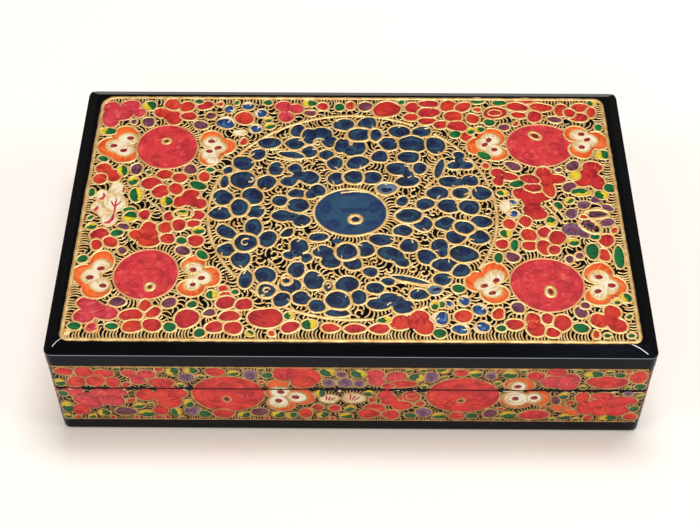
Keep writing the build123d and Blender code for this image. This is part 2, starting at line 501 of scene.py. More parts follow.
def layOne(panel, group, paint, outline, axis, shade, lean, mates, cuts):
    # a thin closed cushion: a foot under the lacquer, an edge, a shoulder, a dome and its crown
    rows, columns = cellsUnder(panel, outline)
    px, py = cellCentres(panel, rows, columns)
    under = insideOf(outline, px, py)
    depth = panel["depth"][rows, columns]
    top = max(coat["least"], (depth[under].max() if under.any() else 0) + coat["step"])
    depth[under] = top
    panel["taken"][rows, columns] |= under
    n = len(outline)
    centre = outline.mean(0)
    rings = [(1.0, -face["sink"]), (1.0, top - coat["edge"])]
    rings += [(share, top + above) for share, above in (coat["shoulder"], coat["dome"])]
    points = [(*(centre + (p - centre) * share), h) for share, h in rings for p in outline]
    points += [(*centre, top + coat["crown"]), (*centre, -face["sink"])]
    last = (len(rings) - 1) * n
    pairs = [(i, (i + 1) % n) for i in range(n)]
    faces = [(low + i, low + j, low + n + j, low + n + i) for low in range(0, last, n) for i, j in pairs]
    for i, j in pairs:
        faces += [(last + i, last + j, last + n), (j, i, last + n + 1)]
    inner = np.zeros(n, bool)
    for mate in mates:
        inner |= insideOf(mate, outline[:, 0], outline[:, 1])
    for x in cuts:
        inner |= abs(outline[:, 0] - x) < 0.01
    addPaint(panel, group, paint, points, faces, centre, axis, shade, lean,
             rim=[0 if hidden else share for share, h in rings for hidden in inner] + [0, 0])


def addPaint(panel, group, paint, points, faces, centre, axis, shade, lean, rim):
    store = groupOf(panel, group)
    start = len(store["points"])
    c, s = math.cos(math.radians(axis)), math.sin(math.radians(axis))
    points = np.array(points)
    offset = points[:, :2] - centre
    along = offset[:, 0] * c + offset[:, 1] * s
    aside = -offset[:, 0] * s + offset[:, 1] * c
    reach = max(abs(along).max(), 0.1)
    store["points"] += points.tolist()
    store["faces"] += [tuple(start + i for i in f) for f in faces]
    store["paint"] += [paintNames.index(paint)] * len(faces)
    seed = 50 * chance(centre[0], centre[1])
    store["brush"] += np.column_stack((along, aside, np.full(len(points), seed))).tolist()
    store["tone"] += np.column_stack((along / reach + lean, rim, np.full(len(points), shade))).tolist()


def layStroke(panel, group, paint, spine, halfWidths, shade=0.5, lean=0.0, lift=coat["strokeStep"]):
    # a brush mark inside a petal: a thin tapering ribbon of paint along its spine
    spine = np.array(spine, float)
    left, right, low, high = window = panel["window"]
    if (spine[:, 0] < left).any() or (spine[:, 0] > right).any():
        return
    keep = (spine[:, 1] > low + coat["strokeGap"]) & (spine[:, 1] < high - coat["strokeGap"])
    spine, halfWidths = spine[keep], np.array(halfWidths)[keep]
    if len(spine) < 3 or isBlocked(panel, spine):
        return
    tangent = np.gradient(spine, axis=0)
    tangent /= np.maximum(np.hypot(tangent[:, 0], tangent[:, 1]), 1e-6)[:, None]
    side = np.column_stack((-tangent[:, 1], tangent[:, 0])) * halfWidths[:, None]
    rows, columns = cellsUnder(panel, spine, 0.3)
    depth = panel["depth"][rows, columns]
    if not depth.size:
        return
    px, py = cellCentres(panel, rows, columns)
    under = insideOf(np.vstack((spine + side, (spine - side)[::-1])), px, py)
    top = (depth[under].max() if under.any() else depth.max()) + lift
    depth[under] = top
    points = []
    corners = np.array(window).reshape(2, 2).T
    edge = top - coat["strokeEdge"]
    for middle, across in zip(spine, side):
        first, second = (np.clip(middle + sign * across, *corners) for sign in (1, -1))
        points += [(*first, -face["sink"]), (*first, edge), (*middle, top)]
        points += [(*second, edge), (*second, -face["sink"])]
    n = 5   # points across the ribbon
    last = n * (len(spine) - 1)
    faces = [(at + k, at + (k + 1) % n, at + n + (k + 1) % n, at + n + k)
             for at in range(0, last, n) for k in range(n)]
    faces += [(4, 3, 2, 1, 0), tuple(last + k for k in range(n))]
    heading = math.degrees(math.atan2(*(spine[-1] - spine[0])[::-1]))
    addPaint(panel, group, paint, points, faces, spine.mean(0), heading, shade, lean, rim=[0.5] * len(points))


def markLine(panel, points, reach):
    for x, y in points:
        rows, columns = cellsIn(panel, x - reach, x + reach, y - reach, y + reach)
        if rows.start < rows.stop and columns.start < columns.stop:
            px, py = cellCentres(panel, rows, columns)
            panel["taken"][rows, columns] |= (px - x) ** 2 + (py - y) ** 2 < reach ** 2


def splitLine(line, keep):
    # the parts of a line that stay; a closed line that loses a part starts again at the gap
    points, halfWidths = line["points"], line["halfWidths"]
    if keep.all():
        return [line]
    if line["closed"]:
        start = int(np.argmin(keep))
        points, halfWidths, keep = (np.roll(a, -start, axis=0) for a in (points, halfWidths, keep))
    edges = np.flatnonzero(np.diff(np.concatenate(([0], keep.astype(int), [0]))))
    return [{**line, "points": points[first:last], "halfWidths": halfWidths[first:last], "closed": False}
            for first, last in zip(edges[::2], edges[1::2]) if last - first >= 3]


def hideBehind(panel, shape):
    # a petal painted later covers the gold of what lies behind it
    low, high = shape.min(0), shape.max(0)
    for store in panel["groups"].values():
        kept = []
        for line in store["lines"]:
            points = line["points"]
            if (points.min(0) > high).any() or (points.max(0) < low).any():
                kept.append(line)
            else:
                kept += splitLine(line, ~insideOf(shape, points[:, 0], points[:, 1]))
        store["lines"] = kept


def goldLine(panel, group, points, width, closed=False, comb=None, keepOut=(), mark=True, lift=0.0):
    # cuts the line where it leaves the face or runs inside another lobe of its own flower
    points = np.array(points, float)
    left, right, low, high = panel["window"]
    rim = width * 0.5
    keep = (points[:, 0] > left + rim) & (points[:, 0] < right - rim)
    keep &= (points[:, 1] > low + rim + 0.1) & (points[:, 1] < high - rim - 0.1)
    for lobe in keepOut:
        keep &= ~insideOf(lobe, points[:, 0], points[:, 1])
    for x, y, halfX, halfY in panel["blocked"]:
        keep &= ~((abs(points[:, 0] - x) < halfX + rim) & (abs(points[:, 1] - y) < halfY + rim))
    least, more = motif["waver"]
    sway = rim * np.array([least + more * chance(*p) for p in points])
    line = {"points": points, "halfWidths": sway, "closed": closed, "comb": comb, "rim": rim, "lift": lift}
    for part in splitLine(line, keep):
        groupOf(panel, group)["lines"].append(part)
        if mark:
            markLine(panel, part["points"], rim + 0.1)


def goldDash(panel, group, spine, half, taper):
    # a short free stroke; it takes no hooks
    groupOf(panel, group)["lines"].append({
        "points": spine, "halfWidths": half * np.array(taper), "closed": False, "comb": None, "rim": half,
        "lift": 0.0})


def goldTick(panel, x, y, rx, ry, angle, length, width=0.75):
    # a comma of gold that runs from the outline into the petal
    edge = np.array(around(x, y, rx + 0.4, ry + 0.4, math.radians(angle)))
    inward = np.array((x, y)) - edge
    inward /= np.hypot(*inward)
    aside = np.array((-inward[1], inward[0])) * (0.6 if chance(x, y, angle) > 0.5 else -0.6)
    spine = np.array([edge + length * (t * inward + t * t * aside) for t in (0, 0.4, 0.75, 1)])
    left, right, low, high = panel["window"]
    if (spine.min(0) < (left + 0.5, low + 0.5)).any() or (spine.max(0) > (right - 0.5, high - 0.5)).any():
        return
    goldDash(panel, "gold_outlines", spine, width / 2, (1.1, 0.9, 1.0, 0.7))


def goldRing(panel, x, y, rx, ry, hole, turn=0.0):
    band = min(rx, ry) - hole
    ring = oval(x, y, rx - band / 2, ry - band / 2, turn, wobble=0.03, points=14)
    goldLine(panel, "gold_outlines", ring, band, closed=True, mark=False)


motif = {
    "grow": 0.45,         # a petal runs on under the middle of its outline
    "outline": 0.98,      # width of a gold outline on the top
    "wallOutline": 0.76,
    "thin": 0.88,         # round a leaf
    "small": 0.8,         # round a small petal
    "combStep": 1.15,     # between the hooks that fill the black ground
    "combWidth": 0.6,
    "combReach": 3.8,
    "wallReach": 2.2,
    "combLeast": 0.6,
    "combBow": 0.22,      # how far a hook bows out sideways, as a share of its reach
    "combLean": 0.3,      # and how far its end may lean
    "combClear": 0.4,     # bare strip that hooks leave along the edge of the face
    "combStart": 0.25,    # bare ground that each needs at its root
    "combLook": 0.6,      # steps in which it feels its way, as a share of a cell
    "combTrack": 0.62,    # ground it keeps to itself, as a share of the step between two
    "waver": (0.88, 0.24),   # least width of a drawn line and what a draw may add, as shares
    "bridge": 2.2,        # petals nearer than this lean towards each other
    "meet": 0.55,         # how much of the way they lean
}


def turnOf(shape):
    # (x, y, rx, ry) with or without a turn behind
    return shape[4] if len(shape) > 4 else 0


def tapered(half, *shares):
    return [half * share for share in shares]


def reachAt(petal, heading):
    # from the middle of an oval petal to its edge
    a = math.radians(heading - turnOf(petal))
    return petal[2] * petal[3] / math.hypot(petal[3] * math.cos(a), petal[2] * math.sin(a))


def bridgeGaps(panel, group, paint, petals):
    # body colour goes on first between petals that nearly touch, so that they read as one flower
    for i, first in enumerate(petals):
        for second in petals[i + 1:]:
            away = math.hypot(second[0] - first[0], second[1] - first[1])
            heading = math.degrees(math.atan2(second[1] - first[1], second[0] - first[0]))
            near, far = reachAt(first, heading), reachAt(second, heading)
            gap = away - near - far
            if gap < motif["bridge"]:
                t = (near + gap / 2) / max(away, 0.1)
                x, y = first[0] + (second[0] - first[0]) * t, first[1] + (second[1] - first[1]) * t
                across = 0.72 * min(reachAt(first, heading + 90), reachAt(second, heading + 90))
                bridge = oval(x, y, max(gap, 0) / 2 + 0.8, across, heading, points=12)
                layPaint(panel, group, paint, bridge, heading, chance(x, y))


def swell(panel, lobe, mates, grow, points):
    # an oval whose edge leans out to meet the petals beside it, so that neighbours share one line
    shape = oval(*lobe[:5], grow=grow, points=points)
    middle = np.array(lobe[:2])
    away = shape - middle
    away /= np.hypot(away[:, 0], away[:, 1])[:, None]
    steps = np.arange(0, motif["bridge"] / 2, 0.08)
    tried = shape[None] + away[None] * steps[:, None, None]
    lean = np.full(points, np.inf)
    for other in panel["petals"]:
        if any(abs(other[0] - m[0]) + abs(other[1] - m[1]) < 0.02 for m in mates):
            continue   # lobes of one petal run together anyway
        furthest = max(lobe[2:4]) + max(other[2:4]) + motif["bridge"] + 1
        if math.hypot(other[0] - lobe[0], other[1] - lobe[1]) > furthest:
            continue
        dx, dy = tried[..., 0] - other[0], tried[..., 1] - other[1]
        a = np.arctan2(dy, dx) - math.radians(turnOf(other))
        edge = other[2] * other[3] / np.hypot(other[3] * np.cos(a), other[2] * np.sin(a)) + grow
        met = np.hypot(dx, dy) - edge <= steps[:, None]
        lean = np.where(met.any(0), np.minimum(lean, steps[met.argmax(0)]), lean)
    lean[np.isinf(lean)] = 0
    for k in range(2):
        lean = 0.4 * lean + 0.3 * (np.roll(lean, 1) + np.roll(lean, -1))
    return shape + away * lean[:, None] * motif["meet"]


def others(shapes, i):
    return [shape for j, shape in enumerate(shapes) if j != i]


def paintFlower(panel, group, paint, lobes, line=None, shade=None):
    # lobes share one outline; each is (x, y, half length, half width, turn)
    line = line or panel["line"]
    grow = motif["grow"] * line / motif["outline"]
    shapes = [swell(panel, lobe, lobes, grow, 24) for lobe in lobes]
    for i, (lobe, shape) in enumerate(zip(lobes, shapes)):
        x, y = lobe[:2]
        tint = chance(x, y, 3) if shade is None else shade
        hideBehind(panel, shape)
        layPaint(panel, group, paint, shape, 360 * chance(x, y, 5), tint, 0.5 * (chance(x, y, 7) - 0.5),
                 others(shapes, i))
    goldGroup = "gold_over_red" if paint in ("rose", "coral") else "gold_outlines"
    for i, lobe in enumerate(lobes):
        outline = swell(panel, lobe, lobes, grow, 36)
        goldLine(panel, goldGroup, outline, line, closed=True, comb="out", keepOut=others(shapes, i))


def paintFan(panel, group, paint, x, y, rx, ry, turn):
    # three fine dark strokes that spread from one end of a petal
    middle = np.array((x, y))
    for spread in (-0.65, 0.0, 0.65):
        a = math.radians(turn) + spread
        arm = np.array((rx * math.cos(a), ry * math.sin(a)))
        start, end = middle - 0.15 * arm, middle + 0.85 * arm
        spine = [start + (end - start) * t for t in (0, 0.35, 0.7, 1)]
        layStroke(panel, group, paint, spine, tapered(0.3, 0.35, 1, 0.8, 0.25))


def paintVeins(panel, group, paint, x, y, rx, ry, turn, half):
    # three fine strokes side by side along a petal
    a = math.radians(turn)
    middle = np.array((x, y))
    along = np.array((math.cos(a), math.sin(a)))
    aside = np.array((-along[1], along[0]))
    long, wide = reachAt((x, y, rx, ry), turn), reachAt((x, y, rx, ry), turn + 90)
    for offset in (-0.55, 0.0, 0.55):
        spine = [middle + along * long * t + aside * wide * offset * (0.6 + 0.5 * t)
                 for t in (-0.5, -0.1, 0.3, 0.62)]
        layStroke(panel, group, paint, spine, tapered(half, 0.4, 1, 0.9, 0.3))


rosette = {
    "rings": ((0.76, 8, 1.5), (0.46, 6, 1.3)),   # how far out, how many petals, half width
    "shades": (0.95, 0.1, 0.55),
    "spread": 0.3, "bulge": 0.12,
    "accents": 4,
    "outline": 0.85,                             # width of its outline against a petal's
}


def paintRosette(panel, x, y, rx, ry, ring, paint="crimson"):
    # broad soft petals brushed round the eye, a little darker along one edge
    group = "rosettes"
    layPaint(panel, group, paint, oval(x, y, rx, ry, 0, 0.3, wobble=0.012, points=40), 20, 0.4)
    for row, (reach, count, half) in enumerate(rosette["rings"]):
        for i in range(count):
            a = 2 * math.pi * (i + 0.5 * row + 0.3 * chance(x, i)) / count
            spine = []
            for t in np.linspace(-1, 1, 7):
                bulge = reach + rosette["bulge"] * (1 - t * t)
                spine.append(around(x, y, rx * bulge, ry * bulge, a + t * rosette["spread"] / reach))
            layStroke(panel, group, paint, spine, tapered(half, 0.15, 0.7, 0.95, 1, 0.95, 0.7, 0.15),
                      shade=rosette["shades"][(i + row) % 3], lean=0.5 if i % 2 else -0.6)
    for i in range(rosette["accents"]):
        a = 2 * math.pi * (i + 0.6 * chance(y, i)) / rosette["accents"]
        spine = [around(x, y, rx * r, ry * r, a + 0.5 * r) for r in (0.3, 0.5, 0.7, 0.86)]
        layStroke(panel, group, paint, spine, [0.1, 0.26, 0.26, 0.08], shade=1.0, lean=1.1)
    outline = oval(x, y, rx, ry, 0, 0.4, wobble=0.018, points=90)
    hideBehind(panel, outline)
    goldLine(panel, "gold_over_red", outline, rosette["outline"] * panel["line"], closed=True, comb="out")
    layPaint(panel, group, "maroon", oval(*ring[:2], ring[4] * 1.3, ring[4] * 1.3, points=12), 0, 0.9)
    goldRing(panel, *ring)


# gold turns: width and lift over the thick paint; the one round each eye is wider on the walls
pansy = {"turn": (0.6, 0.03), "eyeTurn": (0.45, 0.05), "loose": 1.15, "wallLoose": 1.7, "strawRim": 0.8}


def paintPansy(panel, lobes, creams, eyes):
    group = "pansies"
    # the walls take the whiter cream, partly painted light
    white = "litWallCream" if panel["merged"] else "cream"
    paintFlower(panel, group, "orange", lobes, shade=0.3)
    bridgeGaps(panel, group, "straw", creams)
    shapes = [oval(*cream[:4], turnOf(cream), 0.1) for cream in creams]
    for cream in creams:
        layPaint(panel, group, "straw", oval(*cream[:4], turnOf(cream), pansy["strawRim"]), 0, 0.3)
    for cream, shape in zip(creams, shapes):
        layPaint(panel, group, white, shape, 360 * chance(*cream[:2]), 0.3)
    width, lift = pansy["turn"]
    for i, shape in enumerate(shapes):
        goldLine(panel, "gold_outlines", shape, width, closed=True, mark=False, lift=lift,
                 keepOut=others(shapes, i))
    width, lift = pansy["eyeTurn"]
    loose = pansy["wallLoose" if panel["merged"] else "loose"]
    for eye in eyes:
        x, y, rx, ry = eye[:4]
        turn = turnOf(eye)
        layPaint(panel, group, "rust", oval(x, y, 0.85 * rx, 0.85 * ry, turn, points=14), turn, 0.9)
        spine = [(x - 0.6 * rx, y - 0.1), (x, y + 0.1), (x + 0.3 * rx, y), (x + 0.6 * rx, y)]
        layStroke(panel, group, "maroon", spine, [0.1, 0.36, 0.3, 0.1])
        turnRound = oval(x + 0.15, y, loose * rx, loose * ry, turn, 0.3, points=18)[3:]
        goldLine(panel, "gold_outlines", turnRound, width, mark=False, lift=lift)


def halfOf(outline, centre, angle):
    # the part of a shape on one side of a straight cut through its centre
    a = math.radians(angle)
    side = (outline[:, 0] - centre[0]) * math.cos(a) + (outline[:, 1] - centre[1]) * math.sin(a)
    kept = []
    for i in range(len(outline)):
        j = (i + 1) % len(outline)
        if side[i] >= 0:
            kept.append(outline[i])
        if (side[i] >= 0) != (side[j] >= 0):
            kept.append(outline[i] + (outline[j] - outline[i]) * side[i] / (side[i] - side[j]))
    return np.array(kept)


def paintLeaf(panel, x, y, rx, ry, turn=0, yellow=None):
    # green with one straight-cut yellow half, the two sides laid side by side
    group = "leaves"
    shape = oval(x, y, rx, ry, turn, 0.35, points=20)
    hideBehind(panel, shape)
    layPaint(panel, group, "green", shape, turn, chance(x, y))
    if yellow is not None:
        a = math.radians(yellow)
        whole = oval(x, y, rx, ry, turn, 0.3, points=24)
        cut = halfOf(whole, around(x, y, 0.1 * rx, 0.1 * ry, a), yellow + 12)
        layPaint(panel, group, "yellow", cut, turn, chance(y, x))
        dab = oval(*around(x, y, -0.3 * rx, -0.3 * ry, a), 0.62 * rx, 0.6 * ry, turn, 0, 0.22, 16)
        layPaint(panel, group, "green", dab, turn, chance(x, y))
    width = motif["thin"] * panel["line"] / motif["outline"]
    goldLine(panel, "gold_outlines", oval(x, y, rx, ry, turn, 0.45), width, closed=True, comb="out")


def paintBerry(panel, x, y, rx, ry, turn=0):
    paintFlower(panel, "berries", "plum", [(x, y, rx, ry, turn)])


def bareGround(panel):
    # how far each cell is from anything painted, in cells, by peeling the bare ground away
    bare = ~panel["taken"]
    room = np.zeros(bare.shape)
    turn = 0
    while True:
        bare[0], bare[-1], bare[:, 0], bare[:, -1] = False, False, False, False
        if not bare.any():
            return room
        room += bare
        inner = bare.copy()
        inner[1:-1, 1:-1] &= bare[:-2, 1:-1] & bare[2:, 1:-1] & bare[1:-1, :-2] & bare[1:-1, 2:]
        if turn % 2:   # every other turn also from the corners, so that the room comes out round
            inner[1:-1, 1:-1] &= bare[:-2, :-2] & bare[2:, 2:] & bare[:-2, 2:] & bare[2:, :-2]
        bare = inner
        turn += 1


bud = {
    "least": 1.9,       # bare ground wider than this gets a bud
    "wallLeast": 1.4,
    "most": 4.2,        # the largest half width it may take
    "line": 0.95,
    "curlBelow": 2.7,   # in the medallion smaller ground gets a curl instead
    "curlLine": 0.8,
}


def fillBare(panel, budAt, most):
    # buds where the ground is still wide open, the widest place first
    c = face["cell"]
    left, low = panel["window"][::2]
    least = bud["wallLeast" if panel["merged"] else "least"]
    for k in range(most):
        room = bareGround(panel)
        row, column = np.unravel_index(int(room.argmax()), room.shape)
        reach = room[row, column] * c
        if reach < least:
            return k
        x, y = left + (column + 0.5) * c, low + (row + 0.5) * c
        budAt(panel, x, y, min(reach, bud["most"]))
    return most


def hookReach(panel, here, normal, along, sweep, near, most):
    # how far a hook can grow from here over bare ground
    c, clear = face["cell"], motif["combClear"]
    left, right, low, high = panel["window"]
    far = near + motif["combStart"]
    while far < most:
        spot = here + normal * far + along * sweep * (far - near)
        row, column = int((spot[1] - low) / c), int((spot[0] - left) / c)
        if not (left + clear < spot[0] < right - clear and low + clear < spot[1] < high - clear):
            break
        if panel["taken"][row, column]:
            break
        far += c * motif["combLook"]
    return far


def growCombs(panel):
    # curved hooks, all swept one way, stand off every outline wherever the ground is still bare
    share = panel["line"] / motif["outline"]
    step, half = motif["combStep"] * share, motif["combWidth"] * share / 2
    furthest = motif["wallReach" if panel["merged"] else "combReach"]
    lines = [line for store in panel["groups"].values() for line in store["lines"] if line["comb"]]
    lines.sort(key=lambda line: -len(line["points"]))   # the longest lines get theirs first
    hooks = 0
    for line in lines:
        run, near = line["points"], line["rim"]
        loop = np.vstack((run, run[:1])) if line["closed"] else run
        travel = np.concatenate(([0], np.cumsum(np.hypot(*np.diff(loop, axis=0).T))))
        count = int(travel[-1] / step)
        if count < 1:
            continue
        area = 0.5 * np.sum(loop[:-1, 0] * loop[1:, 1] - loop[1:, 0] * loop[:-1, 1])
        outward = 1 if area > 0 or not line["closed"] else -1
        handed = {"out": (1,), "in": (-1,), "both": (1, -1)}[line["comb"]]
        way = 1 if chance(*run[0]) > 0.4 else -1
        bow, sweep = way * motif["combBow"], way * motif["combLean"] * (2 * chance(*run[0], 2) - 1)
        swept = []
        for k in range(count):
            s = (k + 0.45 + 0.1 * chance(*run[0], k)) * travel[-1] / count
            here, there, back = (
                np.array([np.interp(min(max(at, 0), travel[-1]), travel, loop[:, a]) for a in (0, 1)])
                for at in (s, s + 0.3, s - 0.3))
            along = there - back
            if np.hypot(*along) < 1e-6:
                continue
            along /= np.hypot(*along)
            for side in handed:
                normal = np.array((along[1], -along[0])) * outward * side
                most = near + furthest * (0.8 + 0.3 * chance(*here))
                far = hookReach(panel, here, normal, along, sweep, near, most)
                reach = far - near
                if reach < motif["combLeast"]:
                    continue
                spine = []
                for t in (0, 0.3, 0.6, 0.85, 1):
                    out = near * 0.3 + (far - near * 0.3) * t
                    sideways = sweep * t * t + bow * 4 * t * (1 - t)
                    spine.append(here + normal * out + along * reach * sideways)
                spine = np.array(spine)
                goldDash(panel, "gold_combs", spine, half, (1.05, 1.0, 1.0, 0.9, 0.6))
                markLine(panel, spine[1:], half + 0.12)
                swept.append(spine[1:])
                hooks += 1
        for spine in swept:   # no hook of another line comes up between these
            markLine(panel, spine, step * motif["combTrack"])
    return hooks


def goldCurl(panel, x, y, radius, start, turns, width=0.9):
    # a tendril that winds in from radius to a third of it
    count = max(8, int(14 * abs(turns)))
    spine = []
    for i in range(count):
        t = i / (count - 1)
        r = radius * (1 - 0.68 * t)
        spine.append(around(x, y, r, r, math.radians(start) + 2 * math.pi * turns * t))
    goldLine(panel, "gold_outlines", spine, width)


def goldStem(panel, points, width, comb=None):
    # a soft curve through a few given points
    points = [np.array(p, float) for p in points]
    padded = [2 * points[0] - points[1]] + points + [2 * points[-1] - points[-2]]
    spine = []
    for a, b, c, d in zip(padded, padded[1:], padded[2:], padded[3:]):
        for t in np.linspace(0, 1, 6, endpoint=False):
            spine.append(0.5 * (2 * b + (c - a) * t + (2 * a - 5 * b + 4 * c - d) * t ** 2
                                + (3 * b - a - 3 * c + d) * t ** 3))
    goldLine(panel, "gold_outlines", spine + [points[-1]], width, comb=comb)


# the sheet that the top was drawn on, and how far the drawing sits off the middle of the lid
topSheet = {"halfX": 98.5, "halfY": 59.3, "shiftX": -0.08, "shiftY": -0.42}
topBorder = {
    "halfX": 96.7, "taper": 0.9, "front": -57.6, "back": 57.9, "corners": (2.4, 3.2, 4.8, 2.6), "width": 1.45,
    "step": 1.6, "tremble": 0.12,
}
medallion = {
    "x": 0.4, "y": -0.3, "rx": 51.9, "ry": 48.7, "width": 1.4,
    "disc": (-0.3, -0.5, 12.9, 10.9), "discWidth": 1.15, "ring": (1.4, -3.9, 3, 2.8, 1.15),
    # soft darker pools in the blue disc, each with short strokes round it
    "pools": [(-1.0, 8.6, 2.9, 1.1), (-9.0, 1.5, 1.9, 2.6), (8.6, 2.2, 2.7, 2.6), (1.0, 0.4, 5.2, 1.0),
              (-6.5, -6.2, 2.8, 2.0), (-0.3, -7.7, 1.8, 1.1), (7.2, -5.8, 2.2, 1.3), (11.0, -2.6, 0.8, 1.8)],
    "poolStrokes": 8,
    "dab": (-5, -14.1, 2.6, 1.2),   # left without its outline
}
# (x, y, rx, ry) and its centre ring (x, y, rx, ry, hole, turn)
rosettes = [
    ((-69.1, 31.6, 11.0, 11.0), (-69.7, 34.6, 2.2, 2.1, 0.7)),
    ((70.5, 33.4, 12.3, 10.8), (68.9, 38.3, 3.2, 2.2, 0.9, -35)),
    ((-70.9, -29.7, 11.0, 10.6), (-69.1, -35.2, 2.3, 2.3, 0.7)),
    ((67.4, -33.3, 12.3, 11.4), (68.4, -36.4, 2.4, 3.0, 0.8)),
]
# lobes, cream patches, eyes
pansies = [
    ([(-85, 37.6, 4.5, 4.3), (-90.2, 31.4, 4.8, 4.6), (-85, 27.7, 4.4, 4.2)],
     [(-84.3, 35.4, 3.3, 2.8), (-88.3, 31.9, 3.2, 2.9), (-84.6, 29.6, 3.0, 2.7)],
     [(-83.3, 35.9, 1.6, 1.2), (-89.1, 31.9, 1.6, 1.2), (-85.2, 29.5, 1.6, 1.2)]),
    ([(-52.7, 35.5, 4.3, 4.0), (-48.5, 31.9, 4.6, 3.8), (-52.7, 26.7, 4.2, 3.8)],
     [(-52.4, 34.2, 3.0, 2.6), (-50.0, 31.4, 2.8, 2.6), (-52.6, 28.0, 2.9, 2.9)],
     [(-52.7, 34.5, 1.6, 1.2), (-50.1, 31.1, 1.7, 1.2, 25), (-53.2, 29.3, 1.6, 1.1)]),
    ([(52.6, 37.6, 4.6, 4.2), (47.6, 32.9, 4.6, 4.0), (53.4, 29.3, 4.2, 3.8)],
     [(52.0, 36.2, 3.0, 2.8), (49.6, 33.4, 2.8, 2.6), (53.0, 30.6, 2.9, 2.6)],
     [(51.3, 35.8, 1.6, 1.2, 50), (49.7, 33.4, 1.6, 1.2, 50), (53.1, 30.9, 1.5, 1.2, 20)]),
    ([(84.6, 39.4, 4.2, 4.0), (91.4, 36, 4.4, 4.2), (85.6, 31.1, 4.0, 3.9)],
     [(85.8, 38.6, 3.0, 2.6), (89.0, 36, 3.0, 2.7), (86.0, 32.9, 2.8, 2.6)],
     [(86.4, 39.2, 1.6, 1.2), (88.3, 36.3, 1.6, 1.2, 25), (85.9, 32.4, 1.5, 1.2)]),
    ([(-86.8, -24, 4.2, 4.0), (-91.5, -30.2, 4.8, 4.6), (-87.6, -35.9, 4.6, 4.2)],
     [(-87.0, -26.5, 2.9, 2.8), (-89.8, -30.8, 3.0, 2.8), (-86.2, -34.4, 2.9, 2.8)],
     [(-86.8, -27.3, 1.6, 1.2), (-90.2, -31.3, 1.6, 1.3), (-85.2, -34.9, 1.6, 1.2)]),
    ([(-54.8, -25, 3.8, 3.6), (-49.3, -30.7, 4.0, 3.9), (-54.8, -35.4, 4.2, 3.8)],
     [(-54.6, -27.2, 2.8, 2.6), (-51.4, -31, 2.8, 2.8), (-54.6, -33.8, 2.6, 2.4)],
     [(-54.8, -27.6, 1.5, 1.2), (-51.6, -31.3, 1.5, 1.2), (-54.4, -34.2, 1.3, 1.0)]),
    ([(49.7, -28.1, 4.6, 4.0), (43.5, -32.3, 4.2, 3.8), (49.2, -37.5, 4.4, 3.9)],
     [(49.6, -30.4, 3.2, 2.8, 30), (46, -33.4, 3.0, 2.4, 20), (48.6, -36.2, 3.0, 2.6)],
     [(50, -31.8, 1.7, 1.2, 40), (45.8, -34.1, 1.6, 1.1, 25), (48.4, -37.2, 1.6, 1.1, 15)]),
    ([(85.6, -28.1, 4.8, 4.2), (89.8, -33.9, 4.8, 4.4), (84.6, -38, 4.2, 3.9)],
     [(85.8, -30, 3.1, 2.8), (88.4, -33.8, 3.4, 2.8), (85, -36.6, 2.8, 2.6)],
     [(85.6, -29.9, 1.7, 1.2), (89.6, -33.6, 1.7, 1.2, 10), (84.6, -36.2, 1.6, 1.1, 25)]),
]
# red flowers whose petals run together inside one outline
redFlowers = [
    [(-92.3, 52.2, 3.2, 3.0), (-85.2, 53.2, 3.5, 3.0), (-81.3, 49.6, 2, 2), (-87.6, 49, 3.5, 3.2),
     (-92.3, 48, 3, 2.6), (-91.8, 44.9, 2.8, 2.6)],
    [(-89.7, -42.4, 3.4, 2.6), (-82.9, -46.4, 3.6, 3), (-90.2, -47.9, 3.6, 2.6), (-87, -44.8, 3, 3),
     (-87, -52.6, 1.8, 1.6)],
    [(88.8, 22.5, 3.4, 2.6), (87.2, 18.9, 3, 3), (84.6, 15.2, 2.8, 2.6), (89.8, 14.7, 2.8, 3.2)],
    [(61.7, 9.2, 2.8, 3), (65.3, 5.8, 3.6, 3), (69.5, 7.4, 2.4, 2), (65.3, 1.4, 3.4, 2.4),
     (66.6, -1, 3.4, 2.6)],
    [(17, -50, 3.6, 2.6), (21.6, -49.4, 2.4, 2.4), (23.8, -47.2, 2.6, 2), (24.6, -51.6, 3.4, 3)],
    [(-69.1, 54.5, 2.8, 2.8), (-63.4, 53.2, 2.5, 2.4)],
    [(-72.5, 49.6, 3.4, 2.2, -15), (-68, 46.8, 3, 3.2)],
    [(-26.2, 53.5, 3, 2.6), (-21.4, 52.2, 2.6, 2.2), (-25.3, 47.9, 2.6, 2.8)],
    [(-58.2, 7.7, 2.6, 2.4), (-62.1, 4, 2.4, 2.2), (-55, 3.2, 2.5, 2.3), (-58.6, 4.6, 2, 2)],
    [(83.6, -48.7, 2.8, 2.8), (88.5, -45, 2.8, 2.6), (89.8, -50.8, 2.8, 2.8), (87.2, -48.4, 2, 2)],
    [(53.4, 19.4, 2.2, 2), (57.6, 17.4, 2.8, 1.8, -10), (53.6, 14.9, 1.9, 1.9)],
]
roseFlowers = (0, 1, 7)   # which of them are pinker
